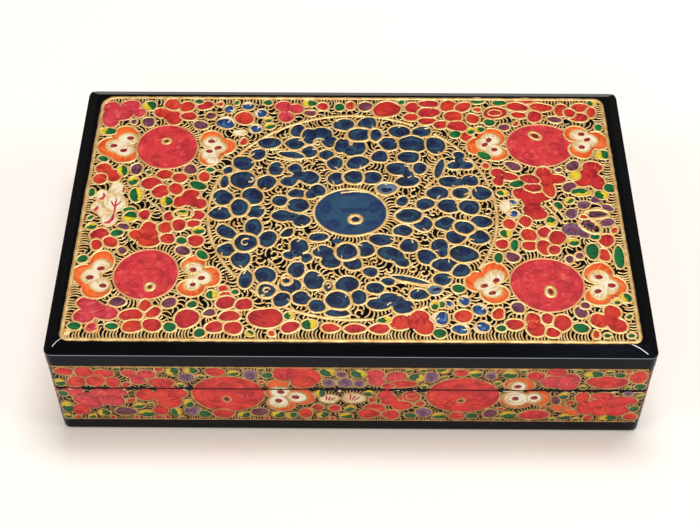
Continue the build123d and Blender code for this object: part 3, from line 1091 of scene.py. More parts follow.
redPetals = [
    (-62.3, 47.9, 2.8, 1.9), (-56.3, 53.8, 2.8, 2, 30), (-91.5, 20.4, 2.8, 2.4), (-87.3, 17, 2.8, 2.6),
    (-92.3, 15.2, 2.3, 2.3), (-68.8, 17.6, 2.6, 2.2), (-63, 16, 2.6, 2, -20), (-73.5, 13.1, 3.4, 2.8),
    (-69.6, 9, 3, 2.8), (-64.2, 10.5, 2.6, 2, -40), (-54.2, 16.5, 2, 2.3), (-74.3, -2.1, 1.8, 2.2),
    (-65.6, -2.8, 1.5, 1.9), (-55.2, -2.4, 1.9, 2.2), (-56.3, -6.4, 2, 1.6), (-72.2, -8.3, 2.6, 2.2),
    (-66.2, -8.3, 2.4, 2.2), (-61.5, -7, 2, 2.8), (-75.6, -11.7, 3, 2.2, -20), (-71.4, -14.8, 3.6, 2.2),
    (-64.9, -13.5, 2.4, 2), (-55, -14.3, 2.6, 2.6), (-89.1, -11.7, 3.2, 2.6), (-85, -15.1, 2.8, 2, -25),
    (-89.7, -16.4, 1.8, 2.2), (-69.9, -43.2, 1.9, 2.2), (-74.3, -47.4, 3.6, 2.2),
    (-66.7, -46.1, 2.6, 1.6, 40), (-73.3, -52.1, 3.4, 2.2), (-66.7, -51.6, 3, 2.4),
    (-55.4, -48.7, 3.9, 3.9), (-43.8, -35.7, 1.6, 1.2), (-42.8, -38.5, 2, 1), (-42.8, -41.7, 3, 2.4, 15),
    (-36.3, -42.4, 2.6, 2.2), (-41, -47.7, 3.2, 1.8), (-45.9, -52.3, 2.6, 2.2), (-39.4, -52.6, 2.8, 2.4),
    (-28.8, -48.4, 5.5, 4), (-20.2, -52.1, 3, 2, 20), (-7, -52.3, 2.8, 1.6), (1.4, -52.6, 3, 1.8),
    (9.7, -52.6, 3, 1.8), (-11.4, 53.6, 2, 1.9), (-0.8, 54, 1.7, 1.9), (13.1, 52.2, 5, 4),
    (23.3, 53.2, 2.6, 2.6), (29.2, 55.3, 3.4, 1.8), (29, 50.4, 3.6, 2.6), (22.2, 48, 2.6, 1.6),
    (28.5, 46, 3, 1.5), (37, 54.3, 3, 2.6), (42.4, 53.7, 3.2, 2, 25), (38.5, 48.6, 3.4, 2.4),
    (33.6, 43.9, 2.5, 1.8), (39.8, 43.3, 3.4, 2.4), (54.4, 50.6, 4.2, 3), (66.4, 57, 3, 1),
    (63.2, 54, 3.6, 2, -15), (72.4, 53.7, 4, 1.8, -10), (63.5, 49.3, 2.6, 1.4), (69.5, 48.5, 2.4, 2.8),
    (79.9, 52.2, 2.2, 3), (87.2, 53.7, 3, 2), (86.2, 48.3, 3.4, 2.2), (83, 50.6, 2, 2),
    (91.4, 51.1, 1.5, 2.5), (42.9, 37.6, 2.2, 2), (70.5, 19.4, 2.8, 2.6), (75.2, 16.2, 3, 2.2),
    (65.3, 16, 3, 2, -20), (66.1, 11.8, 2.8, 1.6), (71.8, 11.3, 2.2, 3.6, 10), (56.2, -5.7, 2, 2.2),
    (62.2, -4.4, 2, 2), (62.7, -10.9, 2.6, 2.4), (68.5, -9.4, 2, 2.2), (72.9, -12, 2.8, 3),
    (62.7, -15.9, 2.6, 1.8), (67.9, -16.7, 2.4, 3), (71.3, -17.7, 1.8, 2), (53.1, -15.1, 2, 2.2),
    (90.1, -13, 2.4, 2.8, -30), (88.5, -20, 2, 2.4), (61.4, -47.9, 2.2, 2.2), (62.2, -52.6, 2.6, 2.6),
    (66.4, -47.7, 1.6, 2), (71.3, -49.7, 2.8, 3.2), (67.7, -53.9, 2, 1.8), (54.9, -50.5, 2.6, 2.2),
]
# petals round a red heart, then the heart
blueWhiteFlowers = [
    ([(-39.9, 53.5, 2.3, 1.8), (-47, 51.7, 1.9, 1.9), (-34.8, 49.7, 2.2, 2), (-48, 44.4, 3.6, 2.8),
      (-36.3, 41.5, 2.2, 1.9)], (-41.1, 47, 3.4, 3.2)),
    ([(38.5, -40.6, 1.9, 2), (43.7, -44.3, 2.4, 2.2), (44.2, -51.6, 2.4, 2.2), (36.9, -52.6, 2.8, 1.9),
      (30.6, -48.2, 2.4, 3), (33, -42.2, 1.7, 1.6)], (38, -47.1, 3, 2.4)),
    ([(58, 4.5, 1.5, 1.3), (58, -1, 1.7, 1.5)], None),
]
creamPetals = [
    (-85.2, 10.2, 2.6, 2.6), (-90.7, 7.0, 1.8, 2.3), (-82.6, 3.2, 1.5, 1.9), (-85.6, 3.6, 3.8, 3.8),
    (-91.8, 1.2, 1.7, 2.2), (-88.9, -1.4, 1.8, 2), (-86.6, -4.3, 2.6, 2.9), (55.4, 2.7, 1.8, 2.6),
    (-51.6, 24.6, 2, 1.2), (-42.3, 39.2, 2.4, 1.2),
]
# bold red marks brushed over the cream, with their half width
lilyMarks = [
    ([(-88.2, -6.3), (-86.6, -6.0), (-85.6, -4.5), (-85.3, -1.8)], 0.75),
    ([(-85.1, -2.0), (-85.2, 0.6), (-85.2, 2.8), (-85.1, 5.2)], 0.4),
    ([(-85.2, 1.4), (-86.0, 2.4), (-86.6, 3.6), (-86.8, 4.4)], 0.3),
    ([(-85.0, 1.6), (-84.3, 2.6), (-83.7, 3.4), (-83.2, 4.2)], 0.3),
    ([(-92.8, -0.8), (-92.2, -0.2), (-91.7, 0.8), (-91.4, 1.8)], 0.7),
    ([(-91.4, 5.2), (-90.4, 5.4), (-89.6, 6.4), (-90.1, 8.2)], 0.7),
    ([(-83.3, 8.6), (-83.0, 9.4), (-83.0, 10.2), (-83.3, 11.2)], 0.5),
]
mauvePetals = [
    (78.5, -8.2, 3.1, 2.9), (82.6, -10.3, 2.2, 1.5, -25), (91.3, -4.7, 2.6, 1.8, 15),
    (92.3, 2.2, 2.0, 1.4, -20), (88.4, 6.2, 1.3, 1.4), (83.7, 3.6, 2.0, 1.9), (78.9, -0.6, 2.1, 2.1),
]
# what shows inside the two long gold loops of that flower
lilyCores = [(88.5, -1.0, 3.2, 1.3, 4), (84.9, -6.2, 3.0, 1.7, -35)]
yellowPetals = [(90.3, 8.6, 2.2, 1.8), (82.0, 17.8, 1.9, 1.7, 30)]
# where petals run together
redHearts = [(-71.2, -11.5, 2.2), (70.8, 15.0, 2.2), (-89.6, 18.3, 1.6), (61.4, -50.2, 1.5)]
berries = [
    (-77.4, 44.5, 2.2, 2.2), (-57.4, 43.1, 2.5, 2), (-79.4, 20.2, 2.1, 2.5), (-59.6, 20.3, 2.1, 2.2),
    (-81.1, -7.8, 1.8, 1.2), (-80.3, -19, 1.4, 1.4), (-59.2, -19, 2.6, 1.8, -35), (-79.5, -41.7, 2.5, 1.9),
    (-61.8, -41.9, 2.3, 2), (-16.1, 49.8, 2, 1.3), (5, 53.7, 2.3, 2.3), (57.5, 42.8, 2, 1.5),
    (77, 47, 2.4, 1.4, -15), (59.6, 22.8, 3, 1.7, -25), (81.5, 23, 2.8, 1.8, 45),
    (79.4, 12.1, 2.6, 1.7, 40), (56.5, -21.1, 2.3, 2), (76.3, -21.9, 1.2, 1.7), (79.9, -20.3, 1.3, 1.3),
    (56.7, -43.2, 1.9, 2.2, 15), (77.8, -45, 2, 2.2), (79.7, -42.2, 1.6, 1.2),
]
# (x, y, rx, ry, turn, direction of the yellow half)
leaves = [
    (-77.7, 53.5, 2.5, 2.2, 0, 200), (-59, 56, 1.5, 1), (-92.3, 39.7, 3, 1.6, 0, 160),
    (-92.3, 25.4, 2, 1.1, -30), (-84.4, 19.4, 1.6, 2.4, 20, 180), (-56.1, 12.1, 3.2, 1.7, -30),
    (-52.2, 20, 1.4, 1), (-80, 14.2, 1.6, 2, 0, 90), (-78.2, 7.4, 2.2, 3.4, 0, 0), (-94.6, 8.4, 1.1, 2),
    (-66.8, 4.3, 2, 2, 0, 180), (-80, 0, 2, 1.4), (-79.3, -3.1, 2.4, 2.2, 0, 250),
    (-92.5, -7.8, 1.7, 1.3, 0, 90), (-54.3, -9.6, 1.8, 1.5, 0, 90), (-60, -14.3, 1.8, 1.4),
    (-52.2, -20.8, 2.4, 1.4, -40), (-83.2, -10.9, 2, 1.5), (-93.8, -22.9, 1.8, 1.5),
    (-47.7, -38.5, 1.7, 1.8, 0, 0), (-39.7, -37.2, 1.2, 0.9), (-54, -42.7, 1.6, 1.3),
    (-60.8, -52.3, 2, 1.8), (-50.6, -54.7, 1.8, 1.6), (-92.8, -52.1, 2, 1.4), (-80.3, -52.1, 2, 1.3),
    (-16.3, 55.3, 2.4, 1.6, 0, 180), (-4.9, 53.2, 1.8, 1.8), (-31.2, 42.8, 1.8, 1.4, 0, 100),
    (18.8, 56.1, 1.1, 1.1), (-32.5, 55.6, 1.5, 1.3), (48.1, 56.9, 2.4, 1.3), (56.5, 56.1, 2.4, 1.4),
    (52.1, 45.4, 1.8, 1.8), (48.1, 41.5, 1.8, 1.3, 0, 180), (38.8, 38.9, 1.8, 1.6),
    (49.2, 27.7, 2.4, 1.3, -40), (93.2, 43, 1.2, 1.8), (91.9, 56.1, 1.6, 1.2, 0, 0),
    (93.5, 28.7, 2.4, 2.2, 0, 180), (44.8, 40.7, 1.1, 1.6, 0, 90), (90.6, -40.6, 1, 1, 0, 90),
    (-60.8, -0.9, 1.6, 1.1, 0, 260), (-32, 46, 1.4, 1, 0, 90), (30.8, -42.2, 1.1, 1.2),
    (60.4, 13.6, 2.4, 1.3, 20), (54.7, 9.2, 1.8, 1.2, 0, 0), (83.3, 9.7, 3.2, 1.6, 0, 270),
    (90.6, 8.4, 2.2, 1.6, 0, 0), (94, 11.8, 1.9, 1.8), (74.4, 3, 1.7, 1.7), (54.7, -10.2, 1.8, 1.8, 0, 0),
    (57.5, -15.6, 1.2, 2.6), (51.5, -21.4, 1.4, 2.2), (71.3, -4.4, 1.7, 2, 0, 270),
    (78.4, -14.1, 1.8, 1.5, 0, 90), (86.2, -11.5, 1.5, 1.1), (84.6, -18.2, 2.2, 3.4),
    (93.7, -20.8, 1.6, 5.2), (36.9, -35.2, 2.2, 1.6), (94, -38.8, 1.8, 1.8, 0, 190),
    (50.5, -52.1, 1.6, 1.1), (77.3, -51.8, 2.6, 1.8), (-21, -47.4, 1.5, 1.3, 0, 0),
    (-14, -51, 2.6, 1.8, 0, 0), (11.3, -49, 2.2, 1, 0, 0), (29.8, -54.4, 2, 1.5),
    (28.5, -42.6, 1.1, 1.7, 0, 90),
]
bluePetals = [
    (-31, 34, 3.8, 2.6), (-34.9, 28, 2.4, 2.5), (-40.2, 23.5, 4, 2.8, -35), (-45.9, 19.9, 1.4, 1.4),
    (-39.9, 15, 4, 4), (-46.7, 13.9, 1.4, 2.3), (-31.2, 13.6, 2.8, 3.3), (-46.7, 6.4, 3.4, 3.1),
    (-36, 6.9, 3.5, 3.5), (-47, -1.6, 3.6, 2.8), (-34.5, -0.5, 3, 2.6), (-20.5, 40.5, 2.6, 2.8),
    (-21.3, 33.8, 3.2, 2.5), (-15.9, 29.3, 2.6, 2.4), (-9.5, 27.8, 2.3, 2.1), (-3.3, 43.9, 3.4, 2.8),
    (5.8, 44.6, 3.2, 2.8), (17.8, 40.4, 3.6, 2.7), (26.2, 40.2, 3.1, 2.3), (22.5, 33.7, 4.9, 3.6),
    (13.6, 33.8, 3.2, 2.7, -20), (31.3, 33.0, 3.5, 3.8), (10.3, 27.2, 2.9, 2.4), (21.0, 27.0, 4.1, 2.3),
    (-22.6, 27.7, 4.4, 1.4, -12), (-28.1, 20.8, 2.5, 2.8), (-5.7, 15.8, 3.1, 2.6), (7.4, 16.5, 3.2, 2.8),
    (-19.8, 8.5, 3.1, 1.6), (-26.2, 4.9, 2.4, 2.2), (-19.2, 2.7, 3.8, 2.6), (32.2, 21.3, 1.2, 4.8, -16),
    (31, 9.1, 3.8, 2.6), (18.3, 5, 2.4, 1.6, 40), (26.4, 3.6, 2.8, 2.5), (47.4, 9, 3.5, 2.7, -15),
    (35.1, 2.7, 3.6, 2.8), (42.4, 2.2, 3.6, 2.8), (25.5, -5.8, 3, 3.1), (18.2, -9.1, 3, 2.1),
    (-44.4, -10.2, 3.6, 2.4, -35), (-44.1, -18.5, 3, 2.4), (-38.6, -22.9, 3, 3.4), (-36.5, -31.8, 2.2, 3.4),
    (-11.5, -12.3, 3, 1.8), (5, -17.8, 2.8, 2.9), (10.5, -13.3, 4, 2.3), (20.4, -16, 3, 2.6),
    (26.4, -21.2, 3.3, 2.8, -25), (32.4, -24.7, 3.8, 2.7), (31.5, -31.1, 2.8, 2.4),
    (-29.6, -29.7, 3.4, 3.2), (-19.1, -27.3, 2.6, 3), (-12.8, -32, 3.1, 3.6), (-21, -34.2, 3.4, 2.8),
    (-23.6, -40.4, 2.6, 2.6), (-16.9, -39.8, 2.8, 2.4), (-11.6, -43, 2.6, 2.2), (-1.3, -33.5, 3.8, 3),
    (0.5, -24.4, 2.9, 2.5), (2.7, -39.3, 2.2, 2.6), (-4.4, -46.1, 3.6, 1.5), (6.8, -28.1, 2.4, 1.8),
    (8.3, -35, 2.7, 2), (12.8, -32.3, 2.2, 1.3, -15), (23.3, -37.8, 3, 2), (33.8, -5.7, 3.4, 2.8),
    (46.6, -4.6, 3.6, 2.2), (36.8, -11.9, 3.2, 2.4), (45.4, -12.1, 3.1, 2.8), (39.6, -19.8, 4.6, 3.2, -15),
    (38.3, -27.4, 2.8, 2.4), (20.4, -31.4, 6, 0.9, -14), (-7.9, -34.5, 1.1, 1.9), (28.8, -35.9, 2.4, 1.5),
]
# petals that run together round little hooks of gold
blueFlowers = [
    [(-15.8, 37.6, 2.8, 3.6), (-11.6, 39, 3.5, 3), (-8.5, 35, 2.8, 2.6)],
    [(-3.8, 32.7, 2.4, 3), (2.6, 31.9, 2.4, 3), (-0.6, 30, 2.4, 1.8)],
    [(-20.8, 20.8, 2.2, 2.3), (-15.4, 16.4, 3, 3.1), (-23, 14.5, 2.6, 2.2), (-19.6, 17, 1.8, 1.8)],
    [(-6.2, 23.6, 2.8, 2.7), (2, 24, 4, 2.5, 10)],
    [(16.8, 21, 4.1, 2.6), (25.1, 21.2, 2.4, 2.4), (20.5, 14.8, 4.2, 2.2), (21, 18, 1.5, 1.8)],
    [(39.8, 28, 2, 1.7), (38.1, 22.9, 2.3, 1.8), (42.4, 22.8, 2.2, 1.7), (40, 25, 1.1, 1.7)],
    [(35.8, 14.7, 3.3, 2.4), (43.4, 15.5, 2.9, 2.2), (39.6, 14.3, 1.5, 1.1)],
    [(-25.1, -2.5, 3.2, 2.4), (-17.8, -4.7, 2.9, 2.4), (-21.6, -3, 1.6, 1.5)],
    [(-34.8, -7.8, 2.9, 3.4), (-29.5, -13.3, 2.8, 3.5)],
    [(-18.5, -16.5, 2.9, 3.1), (-21.8, -20.6, 1.8, 1.6), (-15.6, -21.9, 1.7, 1.6), (-19, -19.6, 1.6, 1.6)],
    [(-9.7, -19.2, 3.5, 2.2), (-7.1, -23.6, 3.3, 2.5)],
    [(13.8, -20.1, 4.2, 2.8, -20), (17.9, -23.7, 2.2, 1.9)],
    [(31, -16.2, 2.7, 2.9), (32, -19.2, 1.3, 1.9)],
    [(9.7, -42.2, 3.6, 2.2), (17.8, -43.2, 3.6, 2.2), (13.9, -40, 4, 2.2)],
    [(-12.2, 10, 2.6, 2.4), (-14.6, 8, 2, 1.6)],
]
# petals drawn round twice, or with a heavier line
boldPetals = [
    (-40.4, 1.5, 3, 3.4), (2.9, 38.6, 4, 2.9), (8.9, 38.4, 1.8, 2.8), (0.6, 16.6, 3, 2.9),
    (39.6, 9.2, 2.6, 2), (20.5, -2, 4.1, 2.8), (-37.3, -15.1, 3.4, 3.6), (-1.6, -19, 3.6, 3.1),
    (-29.1, -36.5, 2.8, 2.4), (-4.4, -40.6, 3.8, 3.2), (40.1, -7.5, 3.1, 2.6, -25), (12.7, 11, 3.2, 2.4),
]
fadedPetals = [(12.7, 11), (28.8, -35.9)]   # rubbed pale, hardly any blue left
# broad gold rings: (x, y, rx, ry, hole, turn)
rings = [
    (-22.2, -31.7, 2.6, 3.1, 1.4), (-60.5, -1.6, 4.4, 2.8, 1.7, 0), (54.4, 50.6, 3.0, 2.0, 1.3),
    (87.6, -0.9, 5.6, 3.1, 1.5, 3), (85.0, -6.5, 5.4, 3.7, 2.0, -35),
]
# tendrils: (x, y, radius, start, turns)
curls = [
    (-12.7, 34.2, 2.6, 30, 0.8), (18.3, -36.2, 1.4, 0, 0.8), (21.5, -26.5, 1.9, 90, 1.3),
    (-22, -31.8, 2.2, 200, 0.7), (-37.3, -15.1, 2, 60, 0.8), (-29.1, -36.5, 1.5, 10, 0.9),
    (-37, 15.5, 1.6, 240, 0.6), (28.4, 12.2, 1.5, 80, 0.9), (13.5, -27.2, 1.4, 160, 0.8),
    (-8, -33.9, 1.3, 270, 0.8), (76.5, -4.6, 1.5, 40, 0.9),
]
stems = [
    [(11.5, -28.6), (17, -30.6), (22.5, -31.8), (28.6, -33.4)],
    [(12.2, -30.4), (17.6, -32.4), (23, -33.8), (27.6, -35)],
    [(-30.5, 30.2), (-25.4, 30.6), (-19.4, 27.4), (-13.6, 23)],
    [(-28.6, 26.4), (-23.6, 25.2), (-18.4, 24.8)], [(25.6, 24.6), (30.4, 19.4), (29.4, 14.4), (26.2, 11.4)],
    [(28.4, 28.4), (32.6, 24), (34.4, 19.6)], [(-74.6, 6), (-72.2, 3.4), (-69.6, 1.4), (-67.6, -1.6)],
    [(-4, 8.8), (1, 9.6), (6, 9.2)], [(-29, -22.4), (-26.4, -25.6), (-24.4, -29)],
]
# laid over the petals
overStems = [[(69.6, 3.6), (72.6, -0.6), (75.2, -5.7)], [(71.5, 4.7), (74.2, 1), (76.4, -3.1)]]


def insideBorder(panel):
    # which cells lie inside the border; outside it the lacquer stays bare
    px, py = cellCentres(panel, *(slice(0, n) for n in panel["depth"].shape))
    return insideOf(np.array(borderPath()), px, py)


def borderPath():
    # a closed line with round corners, the far side a little narrower as the hand drew it
    b = topBorder
    wide, narrow = b["halfX"], b["halfX"] - b["taper"]
    front, back = b["front"], b["back"]
    corners = [(wide, front, -90), (narrow, back, 0), (-narrow, back, 90), (-wide, front, 180)]
    points = []
    for (x, y, start), r in zip(corners, b["corners"]):
        cx, cy = x - math.copysign(r, x), y - math.copysign(r, y)
        points += [np.array(around(cx, cy, r, r, math.radians(start + 90 * k / 6))) for k in range(7)]
    dense = []
    for here, there in zip(points, points[1:] + points[:1]):
        count = max(1, int(np.hypot(*(there - here)) / b["step"]))
        dense += [here + (there - here) * i / count for i in range(count)]
    draws = [np.array((chance(i, 1) - 0.5, chance(i, 2) - 0.5)) for i in range(len(dense))]
    return [p + b["tremble"] * draw for p, draw in zip(dense, draws)]


def paintMedallion(panel):
    m = medallion
    group = "medallion"
    ring = oval(m["x"], m["y"], m["rx"], m["ry"], wobble=0.004, points=220)
    goldLine(panel, "gold_outlines", ring, m["width"], closed=True, comb="both")
    disc = m["disc"]
    layPaint(panel, group, "steel", oval(*disc, 0, 0.3, wobble=0.01, points=40), 30, 0.2, lean=-0.9)
    for x, y, rx, ry in m["pools"]:
        layPaint(panel, group, "deep", oval(x, y, rx, ry, 0, 0, 0.16, 18), 20, 0.5)
        for i in range(m["poolStrokes"]):
            a = 6.28 * (i + chance(x, i)) / m["poolStrokes"]
            spine = [around(x, y, rx * r, ry * r, a) for r in (0.6, 0.85, 1.05, 1.2)]
            layStroke(panel, group, "deep", spine, [0.2, 0.34, 0.24, 0.06])
    outline = oval(*disc, 0, 0.4, wobble=0.01, points=64)
    goldLine(panel, "gold_outlines", outline, m["discWidth"], closed=True, comb="out")
    layPaint(panel, group, "blue", oval(*m["dab"]), 0, 0.6)
    layPaint(panel, group, "ink", oval(*m["ring"][:2], 1.6, 1.4, points=12), 0, 0.5)
    goldRing(panel, *m["ring"])


# a blue petal: how much it is drawn larger, the least half width that takes a navy pool and a gold comma
bluePaint = {"larger": (1.03, 1.06), "poolFrom": 1.3, "tickFrom": 2.1, "bold": 1.35}


def paintBlue(panel, lobes, line=None):
    # the body runs right up under its outline; soft navy pools lie along one side of it
    longer, wider = bluePaint["larger"]
    lobes = [(lobe[0], lobe[1], lobe[2] * longer, lobe[3] * wider, *lobe[4:]) for lobe in lobes]
    paintFlower(panel, "medallion", "haze" if lobes[0][:2] in fadedPetals else "blue", lobes, line)
    for x, y, rx, ry in (lobe[:4] for lobe in lobes):
        heading = 360 * chance(x, y, 11)
        small = min(rx, ry)
        if small > bluePaint["poolFrom"]:
            place = around(x, y, 0.25 * rx, 0.25 * ry, math.radians(heading))
            pool = oval(*place, 0.55 * rx, 0.5 * ry, 0, 0, 0.16, 14)
            layPaint(panel, "medallion", "navy", pool, heading, chance(y, x), lean=0.3)
        if small > bluePaint["tickFrom"] and chance(x, y, 13) > 0.45:
            goldTick(panel, x, y, rx, ry, heading + 150 + 60 * chance(y, 3), 1.1 + 0.8 * chance(x, 5))


def budOnTop(panel, x, y, reach):
    # a small petal in the garden, a drop of blue in the medallion; the middle of the ground stays black
    m = medallion
    inside = ((x - m["x"]) / m["rx"]) ** 2 + ((y - m["y"]) / m["ry"]) ** 2 < 1
    line = bud["line"]
    size = reach - line
    draw = chance(x, y)
    turn = 180 * draw
    other = chance(y, x)
    pick = chance(x, y, 2)
    if inside and reach < bud["curlBelow"]:
        goldCurl(panel, x, y, reach - 0.5, 360 * draw, 0.9 if other > 0.5 else -0.9, bud["curlLine"])
        markLine(panel, [(x, y)], reach * 0.7)
    elif inside:
        paint = "ink" if other > 0.5 else "blue"
        paintFlower(panel, "medallion", paint, [(x, y, size, size * 0.8, turn)], line)
    elif pick > 0.55:
        paintFlower(panel, "red_petals", "scarlet", [(x, y, size, size * 0.75, turn)], line)
    elif pick > 0.3:
        paintFlower(panel, "berries", "plum", [(x, y, size * 0.9, size * 0.75, turn)], line)
    else:
        paintLeaf(panel, x, y, size, size * 0.7, turn, 360 * other if size > 1.2 else None)


def paintBlueWhite(panel, petals, heart):
    # cream petals brushed over with blue, round a red heart
    group = "blue_white_flowers"
    for petal in petals:
        x, y, rx, ry = petal[:4]
        a = 6.28 * chance(x, y)
        paintFlower(panel, group, "cream", [petal], motif["small"])
        blue = oval(*around(x, y, 0.14 * rx, 0.14 * ry, a), 0.94 * rx, 0.9 * ry, wobble=0.12, points=16)
        layPaint(panel, group, "sky", blue, 90, 0.4)
        spine = [around(x, y, rx * r, ry * r, a + 2 + r) for r in (0.2, 0.45, 0.7, 0.85)]
        layStroke(panel, group, "cream", spine, [0.1, 0.26, 0.22, 0.08])
    if heart:
        paintFlower(panel, group, "scarlet", [heart], shade=0.1)


def paintPetals(panel, group, paint, petals, line=None, veins=(), shade=None):
    # single petals; veins are their paint, turn and half width
    for petal in petals:
        paintFlower(panel, group, paint, [petal], line, shade)
        if veins:
            paintVeins(panel, group, veins[0], *petal[:4], *veins[1:])


def redFor(petal):
    return "scarlet" if chance(*petal[:2]) > 0.5 else "red"


def paintReds(panel):
    loose, joined = list(redPetals), list(redFlowers)
    for x, y, reach in redHearts:
        near = [p for p in loose if math.hypot(p[0] - x, p[1] - y) < max(p[2:4]) + reach - 0.2]
        loose = [p for p in loose if p not in near]
        joined.append(near + [(x, y, reach, reach)])
    for i, lobes in enumerate(joined):
        paintFlower(panel, "red_petals", "rose" if i in roseFlowers else redFor(lobes[0]), lobes)
        for lobe in lobes[::2]:
            goldTick(panel, *lobe[:4], 360 * chance(*lobe[:2], 4), 0.9, 0.6)
    for petal in loose:
        paintFlower(panel, "red_petals", redFor(petal), [petal])
        if petal[2] > 2.5:
            paintFan(panel, "red_petals", redFor(petal), *petal[:4], 360 * chance(*petal[:2]))


def paintLilies(panel):
    paintPetals(panel, "lilies", "cream", creamPetals, 0.7)
    for spine, half in lilyMarks:
        layStroke(panel, "lilies", "rose", spine, tapered(half, 0.5, 1, 0.9, 0.3), lift=0.02)
    paintPetals(panel, "leaves", "yellow", yellowPetals, motif["small"])
    paintPetals(panel, "lilies", "mauve", mauvePetals, 0.6, ("plum", 250, 0.45))
    for x, y, rx, ry, turn in lilyCores:
        layPaint(panel, "lilies", "plum", oval(x, y, rx, ry, turn), turn, 0.5)
        layPaint(panel, "lilies", "ink", oval(x, y, 0.5 * rx, 0.36 * ry, turn, points=12), turn, 0.5)


def paintAll(panel, paintOne, motifs):
    for one in motifs:
        paintOne(panel, *one)


def allLobes(petals, flowers):
    return petals + [lobe for lobes in flowers for lobe in lobes]


def paintTop():
    halfX, halfY = cap[1].x / mm - face["slope"], cap[1].y / mm - face["slope"]
    across = (halfX / topSheet["halfX"], topSheet["shiftX"])
    up = (halfY / topSheet["halfY"], topSheet["shiftY"])
    window = (face["margin"] - halfX, halfX - face["margin"], face["margin"] - halfY, halfY - face["margin"])
    panel = makePanel("lid_top", "lid", (0, 0, cap[1].z), (1, 0, 0), (0, 1, 0), window, (*across, *up))
    panel["taken"] |= ~insideBorder(panel)
    paintMedallion(panel)
    for stem in stems:
        goldStem(panel, stem, 0.95, comb="both")
    reds = allLobes(redPetals, redFlowers)
    blues = allLobes(bluePetals + boldPetals, blueFlowers)
    bridgeGaps(panel, "red_petals", "red", reds)
    bridgeGaps(panel, "medallion", "ink", blues)
    panel["petals"] = reds + blues + creamPetals + mauvePetals
    for body, ring in rosettes:
        paintRosette(panel, *body, ring)
    paintReds(panel)
    paintAll(panel, paintPansy, pansies)
    paintAll(panel, paintBlueWhite, blueWhiteFlowers)
    paintLilies(panel)
    paintAll(panel, paintBerry, berries)
    paintAll(panel, paintLeaf, leaves)
    paintAll(panel, paintBlue, [([petal],) for petal in bluePetals] + [(lobes,) for lobes in blueFlowers])
    paintAll(panel, paintBlue, [([petal], bluePaint["bold"]) for petal in boldPetals])
    paintAll(panel, goldRing, rings)
    paintAll(panel, goldCurl, curls)
    for stem in overStems:
        goldStem(panel, stem, 1.1)
    goldLine(panel, "gold_border", borderPath(), topBorder["width"], closed=True, comb="in")
    buds = fillBare(panel, budOnTop, 90)
    hooks = growCombs(panel)
    drawn = len(panel["groups"]["gold_outlines"]["lines"])
    print("top: %d gold lines, %d buds, %d hooks" % (drawn, buds, hooks))
    return panel


